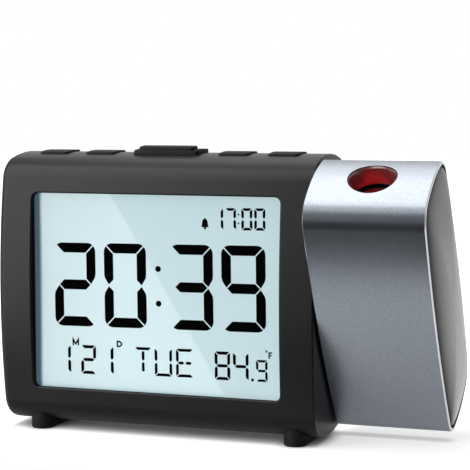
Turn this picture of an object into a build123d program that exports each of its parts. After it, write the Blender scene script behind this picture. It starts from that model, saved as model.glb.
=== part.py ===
"""Projection alarm clock: a two-shell clock body with a swivelling projector arm at its right end.

Frame: +X to the right, +Y to the back, +Z up, millimetres. The origin lies on the table, under the
arm's pivot axis and midway between the left end of the body and the crown of the arm's end cap.
The arm is modelled turned forward by arm_tilt from its upright place flush with the body.
"""

import os
from math import asin, cos, radians, sin, sqrt

from build123d import *

os.makedirs("parts", exist_ok=True)

# ---------------------------------------------------------------- driving dimensions
# Outer form, shared by body and arm: both ends are round about the pivot axis
body_width = 109.5
body_depth = 40.0
arm_width = 37.8
arm_depth = 38.0
end_reach = 45.5          # pivot axis to the top and bottom of body and arm
face_bow = 340.0          # radius of the gently bowed front and back
corner_radius = 8.0
left_bow = 700.0          # radius of the gently bowed left end
left_round = 4.0
right_round = 0.6
floor_gap = 1.6           # lowest point of the shells above the table
arm_gap = 0.5             # between the body's right wall and the sleeve
arm_tilt = 30.5           # degrees forward from upright
crown_height = 2.4        # end cap beyond the sleeve's rim

# Housing shells
wall = 2.0
left_wall = 3.5
rear_depth = 10.5         # depth of the rear shell
seam_gap = 0.3
lip_length = 1.6
lip_thickness = 1.0
lip_gap = 0.2
rib_thickness = 1.2
rib_height = 2.5
rib_count = 4

# Display window and the stack behind it
window_width = 85.8
window_height = 64.5
window_corner = 2.0
window_edge = 0.5
window_margin = 11.3      # window to the body's right wall
window_recess = 3.2       # face to the lens
collar_wall = 1.5
glass_lap = 1.2           # lens beyond the window on each side
lens_thickness = 1.0
lcd_thickness = 2.4
lcd_ledge_height = 3.0    # strip of lower glass that carries the contacts
guide_thickness = 3.0
tray_wall = 1.2
tray_gap = 0.15
tray_back = 1.0
tray_post_rise = 20.0     # tray screws above and below the pivot axis
ear_height = 5.0
pocket_gap = 0.3
ribbon_width = 60.0
ribbon_slot = 1.2

# Circuit boards
board_thickness = 1.6
main_board_width = 80.0
main_board_height = 62.0
main_board_gap = 1.9      # tray to main board
board_post_radius = 2.2
board_hole_inset = 4.0
board_screw_bite = 2.4
can_radius = 3.15
can_height = 7.0
blob_radius = 6.5
blob_height = 1.8
blob_taper = 50.0
key_board_half = 43.2
key_board_depth = 10.0
key_board_top = 35.0      # above the pivot axis
switch_size = 6.0
switch_height = 3.5
plunger_radius = 1.5
plunger_height = 1.0

# Top keys
key_width = 10.2
key_depth = 11.0
key_front = 12.5          # face to the front edge of the keys
inner_key_offset = 23.4   # window centre line to the inner keys
key_pitch = 16.8
key_rise = 0.6            # above the top of the shell
key_corner = 1.2
key_edge = 0.25
snooze_width = 22.8
snooze_rise = 1.3
bar_width = 19.3
bar_depth = 5.0
bar_setback = 0.5
bar_height = 1.1
bar_edge = 0.5
key_gap = 0.35
key_travel = 0.5
key_flange = 0.8
flange_thickness = 1.0
stem_width = 3.0

# Feet
foot_width = 7.7
foot_length = 32.0
left_foot_inset = 12.6    # body's left end to the centre of the left foot
right_foot_inset = 7.9    # body's right wall to the centre of the right foot
foot_seat = 0.1
foot_height = 7.0         # before its top is cut to the shell
foot_edge = 0.5

# Pivot
hub_radius = 5.5
hub_bore = 3.2
hub_play = 0.06
hub_boss_radius = 7.4
hub_boss_height = 1.5
thrust_pad_radius = 10.0
thrust_gap = 0.1
washer_radius = 7.0
washer_thickness = 0.8
clip_thickness = 1.0
clip_groove = 0.8         # depth of the clip's groove in the hub
clip_opening = 7.0
hub_tail = 1.2            # hub beyond the clip
axial_play = 0.05
swing_back = 90.0         # degrees from upright to the stops
swing_forward = 90.0
stop_radius = 7.5         # pivot axis to the stop pin
stop_pin_radius = 0.8
stop_play = 0.1
stop_depth = 1.2          # of the pin's groove in the body's right wall

# Screws
screw_radius = 1.2
screw_head_radius = 2.2
screw_head_height = 1.5
screw_slot_length = 2.9
screw_slot_width = 0.5
screw_slot_depth = 0.6
screw_play = 0.05
boss_radius = 2.6
housing_screw_length = 12.0
housing_screw_left = 6.6  # in from the left end
housing_screw_right = 5.4
housing_screw_height = 32.0
counterbore_radius = 2.6
short_screw_length = 5.0

# Battery bay for two AAA cells, and its lid
bay_width = 49.0
bay_height = 23.0
bay_depth = 12.5
bay_wall = 1.5
bay_inset = 37.1          # body's left end to the bay's centre
bay_drop = 8.0            # bay centre below the pivot axis
lid_lap = 1.8             # lid beyond the bay on each side
lid_thickness = 1.3
lid_gap = 0.3
lid_corner = 0.8          # of the lid's seat
lid_leg_width = 8.0
lid_leg_length = 1.6
lid_leg_thickness = 1.0
lid_leg_gap = 0.7
pin_radius = 0.45
pin_length = 1.2          # beyond the lid's ends
pin_play = 0.06
grip_count = 3
grip_width = 14.0
grip_size = 0.8
contact_thickness = 0.4
contact_width = 8.0
spring_radius = 2.8
spring_length = 2.4
spring_pitch = 0.8
spring_cone = -25.0
spring_wire = 0.25

# Rear fittings
socket_inset = 17.4       # body's right wall to the socket's centre
socket_drop = 28.0
socket_width = 9.0
socket_height = 10.0
socket_length = 12.0
socket_bore = 3.1
socket_bore_depth = 9.0
socket_pin_radius = 1.0
socket_gap = 0.2
socket_set = 1.6          # socket's mouth in from the back
buzzer_inset = 26.4
buzzer_rise = 17.0
buzzer_radius = 6.5
buzzer_thickness = 3.0
buzzer_gap = 0.15
sound_hole_radius = 0.8
sound_ring_radius = 3.2
sound_hole_count = 6
vent_inset = 24.0         # body's left end to the middle of the thermometer's vents
vent_rise = 22.0
vent_count = 5
vent_pitch = 2.8
vent_width = 1.2
vent_height = 8.0

# Arm shells
sleeve_wall = 1.0
rim_chamfer = 0.5
cap_gap = 0.1
inner_cap_thickness = 2.5
end_cap_flange = 2.0
end_cap_recess = 1.2      # flange below the sleeve's rim
crown_inset = 0.4         # groove between the sleeve and the crown
crown_start = 0.4         # where the crown starts, below the sleeve's rim
crown_angles = (0, 20, 40, 60, 75, 86)

# Projector, measured along the optical axis from the pivot axis
aperture_radius = 7.7
ring_gap = 0.1
ring_wall = 0.8
ring_flange = 1.6
ring_flange_thickness = 1.0
ring_depth = 6.8          # below the sleeve's top
ring_set = 0.2            # ring below the sleeve's skin
barrel_radius = 6.0
barrel_wall = 0.8
barrel_play = 0.1
barrel_bottom = 20.0
barrel_top = 38.0
lens_radius = 5.15
lens_rim = 1.6
lens_dome = 1.9
lens_set = 2.2            # lens rim below the top of the barrel
lens_seat = 1.0
tube_wall = 1.2
tube_bottom = 19.0
tube_top = 35.0
light_box_half = 7.2
light_box_bottom = -8.0
slide_size = 11.6
slide_thickness = 1.4
slide_height = 15.0
slide_gap = 0.15
condenser_radius = 5.6
condenser_rim = 1.2
condenser_dome = 2.4
condenser_height = 3.0
condenser_seat = 0.8
led_board_size = 14.4
led_board_thickness = 1.2
led_radius = 2.5
led_height = 3.2
led_round = 1.5
chassis_plate_thickness = 2.0
chassis_plate_corner = 2.0
chassis_post_length = 4.0
chassis_post_radius = 2.6
chassis_plate_half = 12.5
chassis_plate_bottom = -18.0
chassis_plate_top = 33.0
chassis_screw_side = 9.8
chassis_screw_low = -14.0
chassis_screw_high = 28.5
web_thickness = 3.0

# Focus wheel and its screw
wheel_proud = 1.0         # beyond the sleeve's skin
wheel_height = 16.0
wheel_thickness = 3.4
wheel_notches = 24
notch_size = 0.5
focus_screw_radius = 1.4
focus_play = 0.06
journal_length = 8.0
focus_screw_top = 29.0
bearing_radius = 2.8
nut_bottom = 22.0
nut_height = 4.0
nut_wall = 1.0
nut_arm_width = 3.6
nut_slot_gap = 0.4
wheel_gap = 0.3
slot_gap = 0.5
focus_travel = 1.0

# ---------------------------------------------------------------- places that follow
total_width = body_width + arm_gap + arm_width + crown_height
body_left = -total_width / 2
body_right = body_left + body_width
arm_left = body_right + arm_gap
arm_right = arm_left + arm_width
arm_mid = (arm_left + arm_right) / 2
pivot_height = end_reach + floor_gap
face_y = -body_depth / 2
back_y = body_depth / 2
seam_y = back_y - rear_depth

window_x = body_right - window_margin - window_width / 2
lens_y = face_y + window_recess
lcd_y = lens_y + lens_thickness
guide_y = lcd_y + lcd_thickness
tray_y = guide_y + guide_thickness + tray_back
main_board_y = tray_y + main_board_gap
glass_width = window_width + 2 * glass_lap
glass_height = window_height + 2 * glass_lap
tray_width = glass_width + 2 * (tray_gap + tray_wall)
tray_height = glass_height + 2 * (tray_gap + tray_wall)
ear_length = pocket_gap + 2 * board_post_radius
tray_posts = [(window_x + side * (tray_width / 2 + pocket_gap + board_post_radius),
               pivot_height + up * tray_post_rise) for side in (-1, 1) for up in (-1, 1)]
board_posts = [(window_x + side * (main_board_width / 2 - board_hole_inset),
                pivot_height + up * (main_board_height / 2 - board_hole_inset))
               for side in (-1, 1) for up in (-1, 1)]
board_back_y = main_board_y + board_thickness

key_y = face_y + key_front + key_depth / 2
key_places = [window_x + side * (inner_key_offset + step * key_pitch) for side, step in
              ((-1, 1), (-1, 0), (1, 0), (1, 1))]
switch_places = sorted(key_places + [window_x])
key_posts = [(window_x + side * (inner_key_offset + key_pitch / 2), key_y) for side in (-1, 1)]
shell_top = pivot_height + end_reach
flange_far = abs(key_y) + key_depth / 2 + key_flange
flange_top = pivot_height + sqrt((end_reach - wall) ** 2 - flange_far ** 2) - key_gap
plunger_top = pivot_height + key_board_top + switch_height + plunger_height
stem_bottom = plunger_top + key_travel + axial_play

left_foot_x = body_left + left_foot_inset
right_foot_x = body_right - right_foot_inset

hub_inner_face = body_right - wall - hub_boss_height
washer_face = hub_inner_face - axial_play - washer_thickness
clip_face = washer_face - axial_play - clip_thickness
hub_end = clip_face - hub_tail

screw_places = [(x, z) for x in (body_left + housing_screw_left, body_right - housing_screw_right)
                for z in (pivot_height - housing_screw_height, pivot_height + housing_screw_height)]
screw_seat_y = seam_y + seam_gap + wall

bay_x = body_left + bay_inset
bay_z = pivot_height - bay_drop
bay_back_y = back_y - lid_thickness - lid_gap
bay_front_y = bay_back_y - bay_depth
pin_z = bay_z - bay_height / 2 - lid_lap + lid_gap + lid_thickness / 2
pin_y = back_y - face_bow + sqrt(face_bow ** 2 - (pin_z - pivot_height) ** 2) - lid_thickness / 2
socket_x = body_right - socket_inset
socket_z = pivot_height - socket_drop
socket_back_y = back_y - socket_set
buzzer_x = body_right - buzzer_inset
buzzer_z = pivot_height + buzzer_rise
vent_x = body_left + vent_inset
vent_z = pivot_height + vent_rise

tilt = radians(arm_tilt)
arm_up = Vector(0, -sin(tilt), cos(tilt))
arm_back = Vector(0, cos(tilt), sin(tilt))
arm_center = Vector(arm_mid, 0, pivot_height)
chassis_x = arm_left + inner_cap_thickness + chassis_post_length
tube_radius = barrel_radius + barrel_play + tube_wall
lens_base = barrel_top - lens_set - lens_rim
bearing_bottom = wheel_height - wheel_gap - journal_length
ring_flange_top = sqrt((end_reach - sleeve_wall) ** 2 - (aperture_radius + ring_flange) ** 2) - ring_gap
wheel_skin = sqrt(face_bow ** 2 - wheel_height ** 2) - face_bow + arm_depth / 2
wheel_edge = wheel_skin + wheel_proud
wheel_radius = (wheel_edge - tube_radius - wheel_gap) / 2
wheel_offset = wheel_edge - wheel_radius  # behind the optical axis
slot_half = sqrt(wheel_radius ** 2 - (wheel_skin - sleeve_wall - wheel_offset) ** 2) + slot_gap
chassis_screws = [(side * chassis_screw_side, height) for side in (-1, 1)
                  for height in (chassis_screw_low, chassis_screw_high)]


# ---------------------------------------------------------------- planes and shared profiles
def body_section(x):
    """Plane across the body at x: local x to the back, local y up, normal to the right."""
    return Plane(origin=(x, 0, pivot_height), x_dir=(0, 1, 0), z_dir=(1, 0, 0))


def arm_section(x):
    """The same for the arm, turned with it about the pivot axis."""
    return Plane(origin=(x, 0, pivot_height), x_dir=arm_back, z_dir=(1, 0, 0))


def optic_plane(height):
    """Plane square to the optical axis: local x to the right, local y to the arm's back."""
    return Plane(origin=arm_center + arm_up * height, x_dir=(1, 0, 0), z_dir=arm_up)


def wall_plane(y):
    """Upright plane at y facing the back: local x to the left, local y up."""
    return Plane(origin=(0, y, 0), x_dir=(-1, 0, 0), z_dir=(0, 1, 0))


def side_profile(depth, inset=0.0):
    """Cross-section of body and arm: a disc about the pivot cut by two bowed faces."""
    with BuildSketch() as outline:
        Circle(end_reach - inset)
        for side in (-1, 1):
            with Locations((side * (face_bow - depth / 2), 0)):
                Circle(face_bow - inset, mode=Mode.INTERSECT)
        fillet(outline.vertices(), corner_radius - inset)
    return outline.sketch


def housing_core(inset):
    """Solid inside the housing, inset from every wall."""
    start = body_left + left_wall + inset - wall
    with BuildPart() as core:
        with BuildSketch(body_section(start)):
            add(side_profile(body_depth, inset))
        extrude(amount=body_right - inset - start)
    return core.part


def housing_blank():
    """The closed outer form of the clock body, with its bowed and rounded left end."""
    with BuildPart() as blank:
        with BuildSketch(body_section(body_left)):
            add(side_profile(body_depth))
        extrude(amount=body_width)
        with BuildSketch(Plane(origin=(body_left + left_bow, back_y, pivot_height), z_dir=(0, -1, 0))):
            Circle(left_bow)
        extrude(amount=body_depth, mode=Mode.INTERSECT)
        fillet(blank.faces().sort_by(Axis.X)[0].edges(), left_round)
        fillet(blank.faces().sort_by(Axis.X)[-1].edges(), right_round)
    return blank.part


def slab(x_size, z_size, y_start, y_end, x_mid, z_mid, corner=0.0):
    """Upright rectangular block between two depths, with rounded corners seen from the front."""
    with BuildPart() as block:
        with BuildSketch(wall_plane(y_start)):
            with Locations((-x_mid, z_mid)):
                if corner > 0:
                    RectangleRounded(x_size, z_size, corner)
                else:
                    Rectangle(x_size, z_size)
        extrude(amount=y_end - y_start)
    return block.part


def seat_on(plane, across, up):
    """The given plane with its origin moved within itself."""
    return Plane(origin=plane.from_local_coords((across, up, 0)), x_dir=plane.x_dir, z_dir=plane.z_dir)


def pan_screw(seat, length):
    """Screw whose head sits on the seat plane, with its shank along the plane's back side."""
    with BuildPart() as screw:
        with BuildSketch(seat):
            Circle(screw_radius)
        extrude(amount=-length)
        with BuildSketch(seat):
            Circle(screw_head_radius)
        extrude(amount=screw_head_height)
        chamfer(screw.edges().group_by(lambda edge: edge.center().dot(seat.z_dir))[-1],
                screw_head_height / 4)
        with BuildSketch(seat.offset(screw_head_height)):
            for turn in (0, 90):
                Rectangle(screw_slot_length, screw_slot_width, rotation=turn)
        extrude(amount=-screw_slot_depth, mode=Mode.SUBTRACT)
    return screw.part


def finish(part, name):
    """Label a finished piece and write its STEP file."""
    part.label = name
    export_step(part, f"parts/{name}.step")


# ---------------------------------------------------------------- clock body: front shell
outer_form = housing_blank()

with BuildPart() as front_housing:
    add(outer_form)
    add(housing_core(wall), mode=Mode.SUBTRACT)
    # Collar that carries the display lens, then the pocket behind it
    collar = slab(window_width + 2 * collar_wall, window_height + 2 * collar_wall,
                  face_y + wall / 2, lens_y + wall, window_x, pivot_height, window_corner)
    add(collar & outer_form)
    add(slab(tray_width + 2 * pocket_gap, tray_height + 2 * pocket_gap, lens_y, tray_y,
             window_x, pivot_height), mode=Mode.SUBTRACT)
    add(slab(window_width, window_height, face_y - wall, lens_y + wall, window_x, pivot_height,
             window_corner), mode=Mode.SUBTRACT)
    near_window = [(Axis.X, window_x, window_width / 2), (Axis.Y, face_y, wall),
                   (Axis.Z, pivot_height, window_height / 2)]
    window_rim = front_housing.edges()
    for axis, middle, reach in near_window:
        window_rim = window_rim.filter_by_position(axis, middle - reach, middle + reach)
    fillet(window_rim, window_edge)
    # Screw bosses from the front wall to the seam, and the tray's posts
    with BuildSketch(wall_plane(face_y + wall / 2)):
        with Locations(*[(-x, z) for x, z in screw_places]):
            Circle(boss_radius)
    extrude(amount=seam_y - face_y - wall / 2)
    with BuildSketch(wall_plane(face_y + wall / 2)):
        with Locations(*[(-x, z) for x, z in tray_posts]):
            Circle(board_post_radius)
    extrude(amount=tray_y - tray_back - face_y - wall / 2)
    # Posts under the top wall that carry the key board
    with BuildSketch(Plane.XY.offset(pivot_height + key_board_top)):
        with Locations(*key_posts):
            Circle(board_post_radius)
    extrude(amount=end_reach - key_board_top - wall / 2)
    # Stiffening ribs along the floor
    with BuildSketch(Plane.XY.offset(floor_gap + wall / 2)):
        with GridLocations(window_width / (rib_count - 1), 1, rib_count, 1):
            with Locations((window_x, 0)):
                Rectangle(rib_thickness, 2 * (seam_y - lip_length - lip_gap))
    extrude(amount=wall / 2 + rib_height)
    # Boss round the arm's hub
    with BuildSketch(body_section(hub_inner_face)):
        Circle(hub_boss_radius)
    extrude(amount=hub_boss_height + wall / 2)
    add(front_housing.part & outer_form, mode=Mode.REPLACE)
    # Bores and openings
    with BuildSketch(body_section(hub_inner_face)):
        Circle(hub_radius + hub_play)
    extrude(amount=body_right - hub_inner_face, mode=Mode.SUBTRACT)
    swing = CenterArc((0, 0), stop_radius, 90 - swing_back, swing_back + swing_forward, mode=Mode.PRIVATE)
    with BuildSketch(body_section(body_right)):
        SlotArc(swing, 2 * (stop_pin_radius + stop_play))
    extrude(amount=-stop_depth, mode=Mode.SUBTRACT)
    with BuildSketch(Plane.XY.offset(pivot_height + key_board_top)):
        with Locations(*key_posts):
            Circle(screw_radius + screw_play)
    extrude(amount=short_screw_length, mode=Mode.SUBTRACT)
    with BuildSketch(wall_plane(tray_y - tray_back)):
        with Locations(*[(-x, z) for x, z in tray_posts]):
            Circle(screw_radius + screw_play)
    extrude(amount=tray_back - short_screw_length, mode=Mode.SUBTRACT)
    with BuildSketch(Plane.XY.offset(pivot_height + key_board_top + short_screw_length)):
        with Locations(*[(x, key_y) for x in key_places]):
            RectangleRounded(key_width + 2 * key_gap, key_depth + 2 * key_gap, key_corner + key_gap)
        with Locations((window_x, key_y)):
            RectangleRounded(snooze_width + 2 * key_gap, key_depth + 2 * key_gap, key_corner + key_gap)
    extrude(amount=end_reach, mode=Mode.SUBTRACT)
    with BuildSketch(wall_plane(seam_y)):
        with Locations(*[(-x, z) for x, z in screw_places]):
            Circle(screw_radius + screw_play)
    extrude(amount=-housing_screw_length, mode=Mode.SUBTRACT)
    split(bisect_by=wall_plane(seam_y), keep=Keep.BOTTOM)
finish(front_housing.part, "front_housing")

# ---------------------------------------------------------------- clock body: rear shell
lid_form = slab(bay_width + 2 * lid_lap, bay_height + 2 * lid_lap, bay_front_y, back_y, bay_x, bay_z,
                lid_corner)
lip_ring = housing_core(wall + lip_gap) - housing_core(wall + lip_gap + lip_thickness)
lip_band = slab(total_width, 2 * end_reach, seam_y - lip_length, seam_y + 2 * seam_gap, 0, pivot_height)
lip_root = slab(total_width, 2 * end_reach, seam_y + seam_gap, seam_y + seam_gap + lip_length,
                0, pivot_height)
root_ring = housing_core(wall / 2) - housing_core(wall + lip_gap + lip_thickness)
with BuildPart() as lip:
    add(lip_ring & lip_band)
    with BuildSketch(wall_plane(seam_y - lip_length)):
        with Locations(*[(-x, z) for x, z in screw_places]):
            Circle(boss_radius + lip_gap)
    extrude(amount=lip_length + seam_gap, mode=Mode.SUBTRACT)
with BuildPart() as rear_housing:
    add(outer_form)
    add(housing_core(wall), mode=Mode.SUBTRACT)
    split(bisect_by=wall_plane(seam_y + seam_gap), keep=Keep.TOP)
    # Lip inside the front shell's wall, and the band that roots it
    add(root_ring & lip_root)
    add(lip.part)
    # Screw pillars, flush with the seam
    with BuildSketch(wall_plane(seam_y + seam_gap)):
        with Locations(*[(-x, z) for x, z in screw_places]):
            Circle(boss_radius + wall / 2)
    extrude(amount=rear_depth)
    # Battery bay, power socket nest and buzzer ring
    add(slab(bay_width + 2 * bay_wall, bay_height + 2 * bay_wall, bay_front_y - bay_wall, back_y,
             bay_x, bay_z))
    add(slab(socket_width + 2 * wall, socket_height + 2 * wall, back_y - 2 * wall, back_y,
             socket_x, socket_z))
    with BuildSketch(wall_plane(back_y - wall - buzzer_thickness)):
        with Locations((-buzzer_x, buzzer_z)):
            Circle(buzzer_radius + buzzer_gap + rib_thickness)
    extrude(amount=buzzer_thickness + wall)
    add(rear_housing.part & outer_form, mode=Mode.REPLACE)
    with BuildSketch(wall_plane(back_y - wall - buzzer_thickness)):
        with Locations((-buzzer_x, buzzer_z)):
            Circle(buzzer_radius + buzzer_gap)
    extrude(amount=buzzer_thickness, mode=Mode.SUBTRACT)
    with BuildSketch(wall_plane(back_y - 2 * wall)):
        with Locations((-buzzer_x, buzzer_z)):
            Circle(sound_hole_radius)
            with PolarLocations(sound_ring_radius, sound_hole_count):
                Circle(sound_hole_radius)
        with Locations((-vent_x, vent_z)):
            with GridLocations(vent_pitch, 1, vent_count, 1):
                SlotOverall(vent_height, vent_width, rotation=90)
    extrude(amount=3 * wall, mode=Mode.SUBTRACT)
    add(slab(bay_width, bay_height, bay_front_y, back_y, bay_x, bay_z), mode=Mode.SUBTRACT)
    add(lid_form - housing_core(lid_thickness + lid_gap), mode=Mode.SUBTRACT)
    for side in (-1, 1):
        with BuildSketch(body_section(bay_x + side * bay_width / 2)):
            with Locations((pin_y, pin_z - pivot_height)):
                Circle(pin_radius + pin_play)
        extrude(amount=side * (lid_lap + pin_length), mode=Mode.SUBTRACT)
    add(slab(socket_width + 2 * socket_gap, socket_height + 2 * socket_gap, seam_y, back_y,
             socket_x, socket_z), mode=Mode.SUBTRACT)
    with BuildSketch(wall_plane(screw_seat_y)):
        with Locations(*[(-x, z) for x, z in screw_places]):
            Circle(counterbore_radius)
    extrude(amount=rear_depth, mode=Mode.SUBTRACT)
    with BuildSketch(wall_plane(seam_y)):
        with Locations(*[(-x, z) for x, z in screw_places]):
            Circle(screw_radius + screw_play)
    extrude(amount=rear_depth, mode=Mode.SUBTRACT)
finish(rear_housing.part, "rear_housing")

# ---------------------------------------------------------------- display stack
with BuildPart() as window_lens:
    add(slab(glass_width, glass_height, lens_y, lcd_y, window_x, pivot_height, window_corner))
finish(window_lens.part, "window_lens")

with BuildPart() as lcd_panel:
    add(slab(glass_width, glass_height, lcd_y + lcd_thickness / 2, guide_y, window_x, pivot_height))
    add(slab(glass_width, glass_height - lcd_ledge_height, lcd_y, lcd_y + lcd_thickness / 2,
             window_x, pivot_height + lcd_ledge_height / 2))
finish(lcd_panel.part, "lcd_panel")

with BuildPart() as light_guide:
    add(slab(glass_width, glass_height, guide_y, guide_y + guide_thickness, window_x, pivot_height))
finish(light_guide.part, "light_guide")

with BuildPart() as display_tray:
    add(slab(tray_width, tray_height, lens_y, tray_y, window_x, pivot_height))
    for x, z in tray_posts:
        add(slab(ear_length, ear_height, tray_y - tray_back, tray_y,
                 x - (1 if x > window_x else -1) * pocket_gap / 2, z))
    with BuildSketch(wall_plane(tray_y)):
        with Locations(*[(-x, z) for x, z in board_posts]):
            Circle(board_post_radius)
    extrude(amount=main_board_gap)
    add(slab(glass_width + 2 * tray_gap, glass_height + 2 * tray_gap, lens_y, tray_y - tray_back,
             window_x, pivot_height), mode=Mode.SUBTRACT)
    with BuildSketch(wall_plane(tray_y - tray_back)):
        with Locations(*[(-x, z) for x, z in board_posts + tray_posts]):
            Circle(screw_radius + screw_play)
    extrude(amount=tray_back + main_board_gap, mode=Mode.SUBTRACT)
    # Slot for the display's ribbon
    add(slab(ribbon_width, ribbon_slot, tray_y - tray_back, tray_y, window_x,
             pivot_height - glass_height / 2 + lcd_ledge_height), mode=Mode.SUBTRACT)
finish(display_tray.part, "display_tray")

# ---------------------------------------------------------------- circuit boards
with BuildPart() as main_board:
    add(slab(main_board_width, main_board_height, main_board_y, main_board_y + board_thickness,
             window_x, pivot_height))
    with BuildSketch(wall_plane(main_board_y)):
        with Locations(*[(-x, z) for x, z in board_posts]):
            Circle(screw_radius + screw_play)
    extrude(amount=board_thickness, mode=Mode.SUBTRACT)
finish(main_board.part, "main_board")

# Each part: place across and up from the board's centre, then its width, height and thickness
chip_sizes = ((-14.0, 6.0, 10.0, 10.0, 1.6), (-27.0, 20.0, 9.0, 4.0, 3.5), (21.0, -16.0, 12.0, 5.0, 6.0),
              (20.0, 4.0, 7.0, 6.0, 2.3), (-24.0, 6.0, 6.5, 4.0, 1.5), (2.0, 20.0, 12.0, 5.0, 6.0))
can_places = ((29.0, 12.0), (29.0, 21.0))
with BuildPart() as board_parts:
    for across, up, width, height, thickness in chip_sizes:
        add(slab(width, height, board_back_y, board_back_y + thickness, window_x + across,
                 pivot_height + up))
    with BuildSketch(wall_plane(board_back_y)):
        with Locations(*[(-window_x - across, pivot_height + up) for across, up in can_places]):
            Circle(can_radius)
    extrude(amount=can_height)
    with BuildSketch(wall_plane(board_back_y)):
        with Locations((-window_x, pivot_height)):
            Circle(blob_radius)
    extrude(amount=blob_height, taper=blob_taper)
finish(board_parts.part, "board_parts")

with BuildPart() as key_board:
    with BuildSketch(Plane.XY.offset(pivot_height + key_board_top)):
        with Locations((window_x, key_y)):
            Rectangle(2 * key_board_half, key_board_depth)
        with Locations(*key_posts):
            Circle(screw_radius + screw_play, mode=Mode.SUBTRACT)
    extrude(amount=-board_thickness)
finish(key_board.part, "key_board")

with BuildPart() as key_switches:
    with BuildSketch(Plane.XY.offset(pivot_height + key_board_top)):
        with Locations(*[(x, key_y) for x in switch_places]):
            RectangleRounded(switch_size, switch_size, switch_size / 8)
    extrude(amount=switch_height)
    with BuildSketch(Plane.XY.offset(pivot_height + key_board_top + switch_height)):
        with Locations(*[(x, key_y) for x in switch_places]):
            Circle(plunger_radius)
    extrude(amount=plunger_height)
finish(key_switches.part, "key_switches")


# ---------------------------------------------------------------- top keys
def top_key(x, width, rise):
    """Key whose flange catches under the shell and whose stem meets its switch."""
    with BuildPart() as key:
        with BuildSketch(Plane.XY.offset(flange_top - flange_thickness)):
            with Locations((x, key_y)):
                RectangleRounded(width, key_depth, key_corner)
        extrude(amount=end_reach)
        with BuildSketch(body_section(x - width)):
            Circle(end_reach + rise)
        extrude(amount=2 * width, mode=Mode.INTERSECT)
        fillet(key.faces().sort_by(Axis.Z)[-1].edges(), key_edge)
        with BuildSketch(Plane.XY.offset(flange_top)):
            with Locations((x, key_y)):
                RectangleRounded(width + 2 * key_flange, key_depth + 2 * key_flange,
                                 key_corner + key_flange)
        extrude(amount=-flange_thickness)
        with BuildSketch(Plane.XY.offset(stem_bottom)):
            with Locations((x, key_y)):
                Rectangle(stem_width, stem_width)
        extrude(amount=flange_top - stem_bottom)
    return key.part


for number, key_x in enumerate(key_places, start=1):
    finish(top_key(key_x, key_width, key_rise), f"top_key_{number}")

with BuildPart() as snooze_key:
    add(top_key(window_x, snooze_width, snooze_rise))
    with BuildSketch(Plane.XY.offset(shell_top)):
        with Locations((window_x, face_y + key_front + bar_setback + bar_depth / 2)):
            RectangleRounded(bar_width, bar_depth, key_corner)
    extrude(amount=end_reach)
    with BuildSketch(body_section(window_x - snooze_width)):
        Circle(end_reach + snooze_rise + bar_height)
    extrude(amount=2 * snooze_width, mode=Mode.INTERSECT)
    fillet(snooze_key.faces().sort_by(Axis.Z)[-1].edges(), bar_edge)
finish(snooze_key.part, "snooze_key")


# ---------------------------------------------------------------- feet
def rubber_foot(x):
    """Long round-ended foot whose top follows the underside of the shell."""
    with BuildPart() as foot:
        with BuildSketch(Plane.XY):
            with Locations((x, 0)):
                SlotOverall(foot_length, foot_width, rotation=90)
        extrude(amount=foot_height)
        fillet(foot.edges().group_by(Axis.Z)[0], foot_edge)
        with BuildSketch(body_section(x - foot_width)):
            add(side_profile(body_depth, -foot_seat))
        extrude(amount=2 * foot_width, mode=Mode.SUBTRACT)
    return foot.part


finish(rubber_foot(left_foot_x), "foot_left")
finish(rubber_foot(right_foot_x), "foot_right")

# ---------------------------------------------------------------- screws of the body
with BuildPart() as housing_screws:
    for x, z in screw_places:
        add(pan_screw(seat_on(wall_plane(screw_seat_y), -x, z), housing_screw_length))
finish(housing_screws.part, "housing_screws")

with BuildPart() as inner_screws:
    for x, z in tray_posts:
        add(pan_screw(seat_on(wall_plane(tray_y), -x, z), short_screw_length))
    for x, z in board_posts:
        add(pan_screw(seat_on(wall_plane(board_back_y), -x, z), board_thickness + board_screw_bite))
    for x, y in key_posts:
        under_board = Plane(origin=(x, y, pivot_height + key_board_top - board_thickness),
                            x_dir=(1, 0, 0), z_dir=(0, 0, -1))
        add(pan_screw(under_board, short_screw_length))
finish(inner_screws.part, "inner_screws")

# ---------------------------------------------------------------- battery lid and contacts
lid_shell = outer_form - housing_core(lid_thickness)
with BuildPart() as battery_lid:
    add(slab(bay_width + 2 * (lid_lap - lid_gap), bay_height + 2 * (lid_lap - lid_gap), bay_front_y,
             back_y, bay_x, bay_z, lid_corner - lid_gap))
    add(lid_shell, mode=Mode.INTERSECT)
    # Snap tongue at the top edge
    add(slab(lid_leg_width, lid_leg_thickness, bay_back_y - lid_leg_length, back_y - lid_thickness / 2,
             bay_x, bay_z + bay_height / 2 - lid_leg_gap - lid_leg_thickness / 2))
    # Finger grooves
    for groove in range(grip_count):
        add(slab(grip_width, grip_size, back_y - grip_size / 2, back_y + grip_size,
                 bay_x, bay_z + bay_height / 2 - lid_lap - 2 * groove * grip_size), mode=Mode.SUBTRACT)
    for side in (-1, 1):
        with BuildSketch(body_section(bay_x + side * (bay_width / 2 - lid_lap))):
            with Locations((pin_y, pin_z - pivot_height)):
                Circle(pin_radius)
        extrude(amount=side * (2 * lid_lap - lid_gap + pin_length))
finish(battery_lid.part, "battery_lid")

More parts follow.
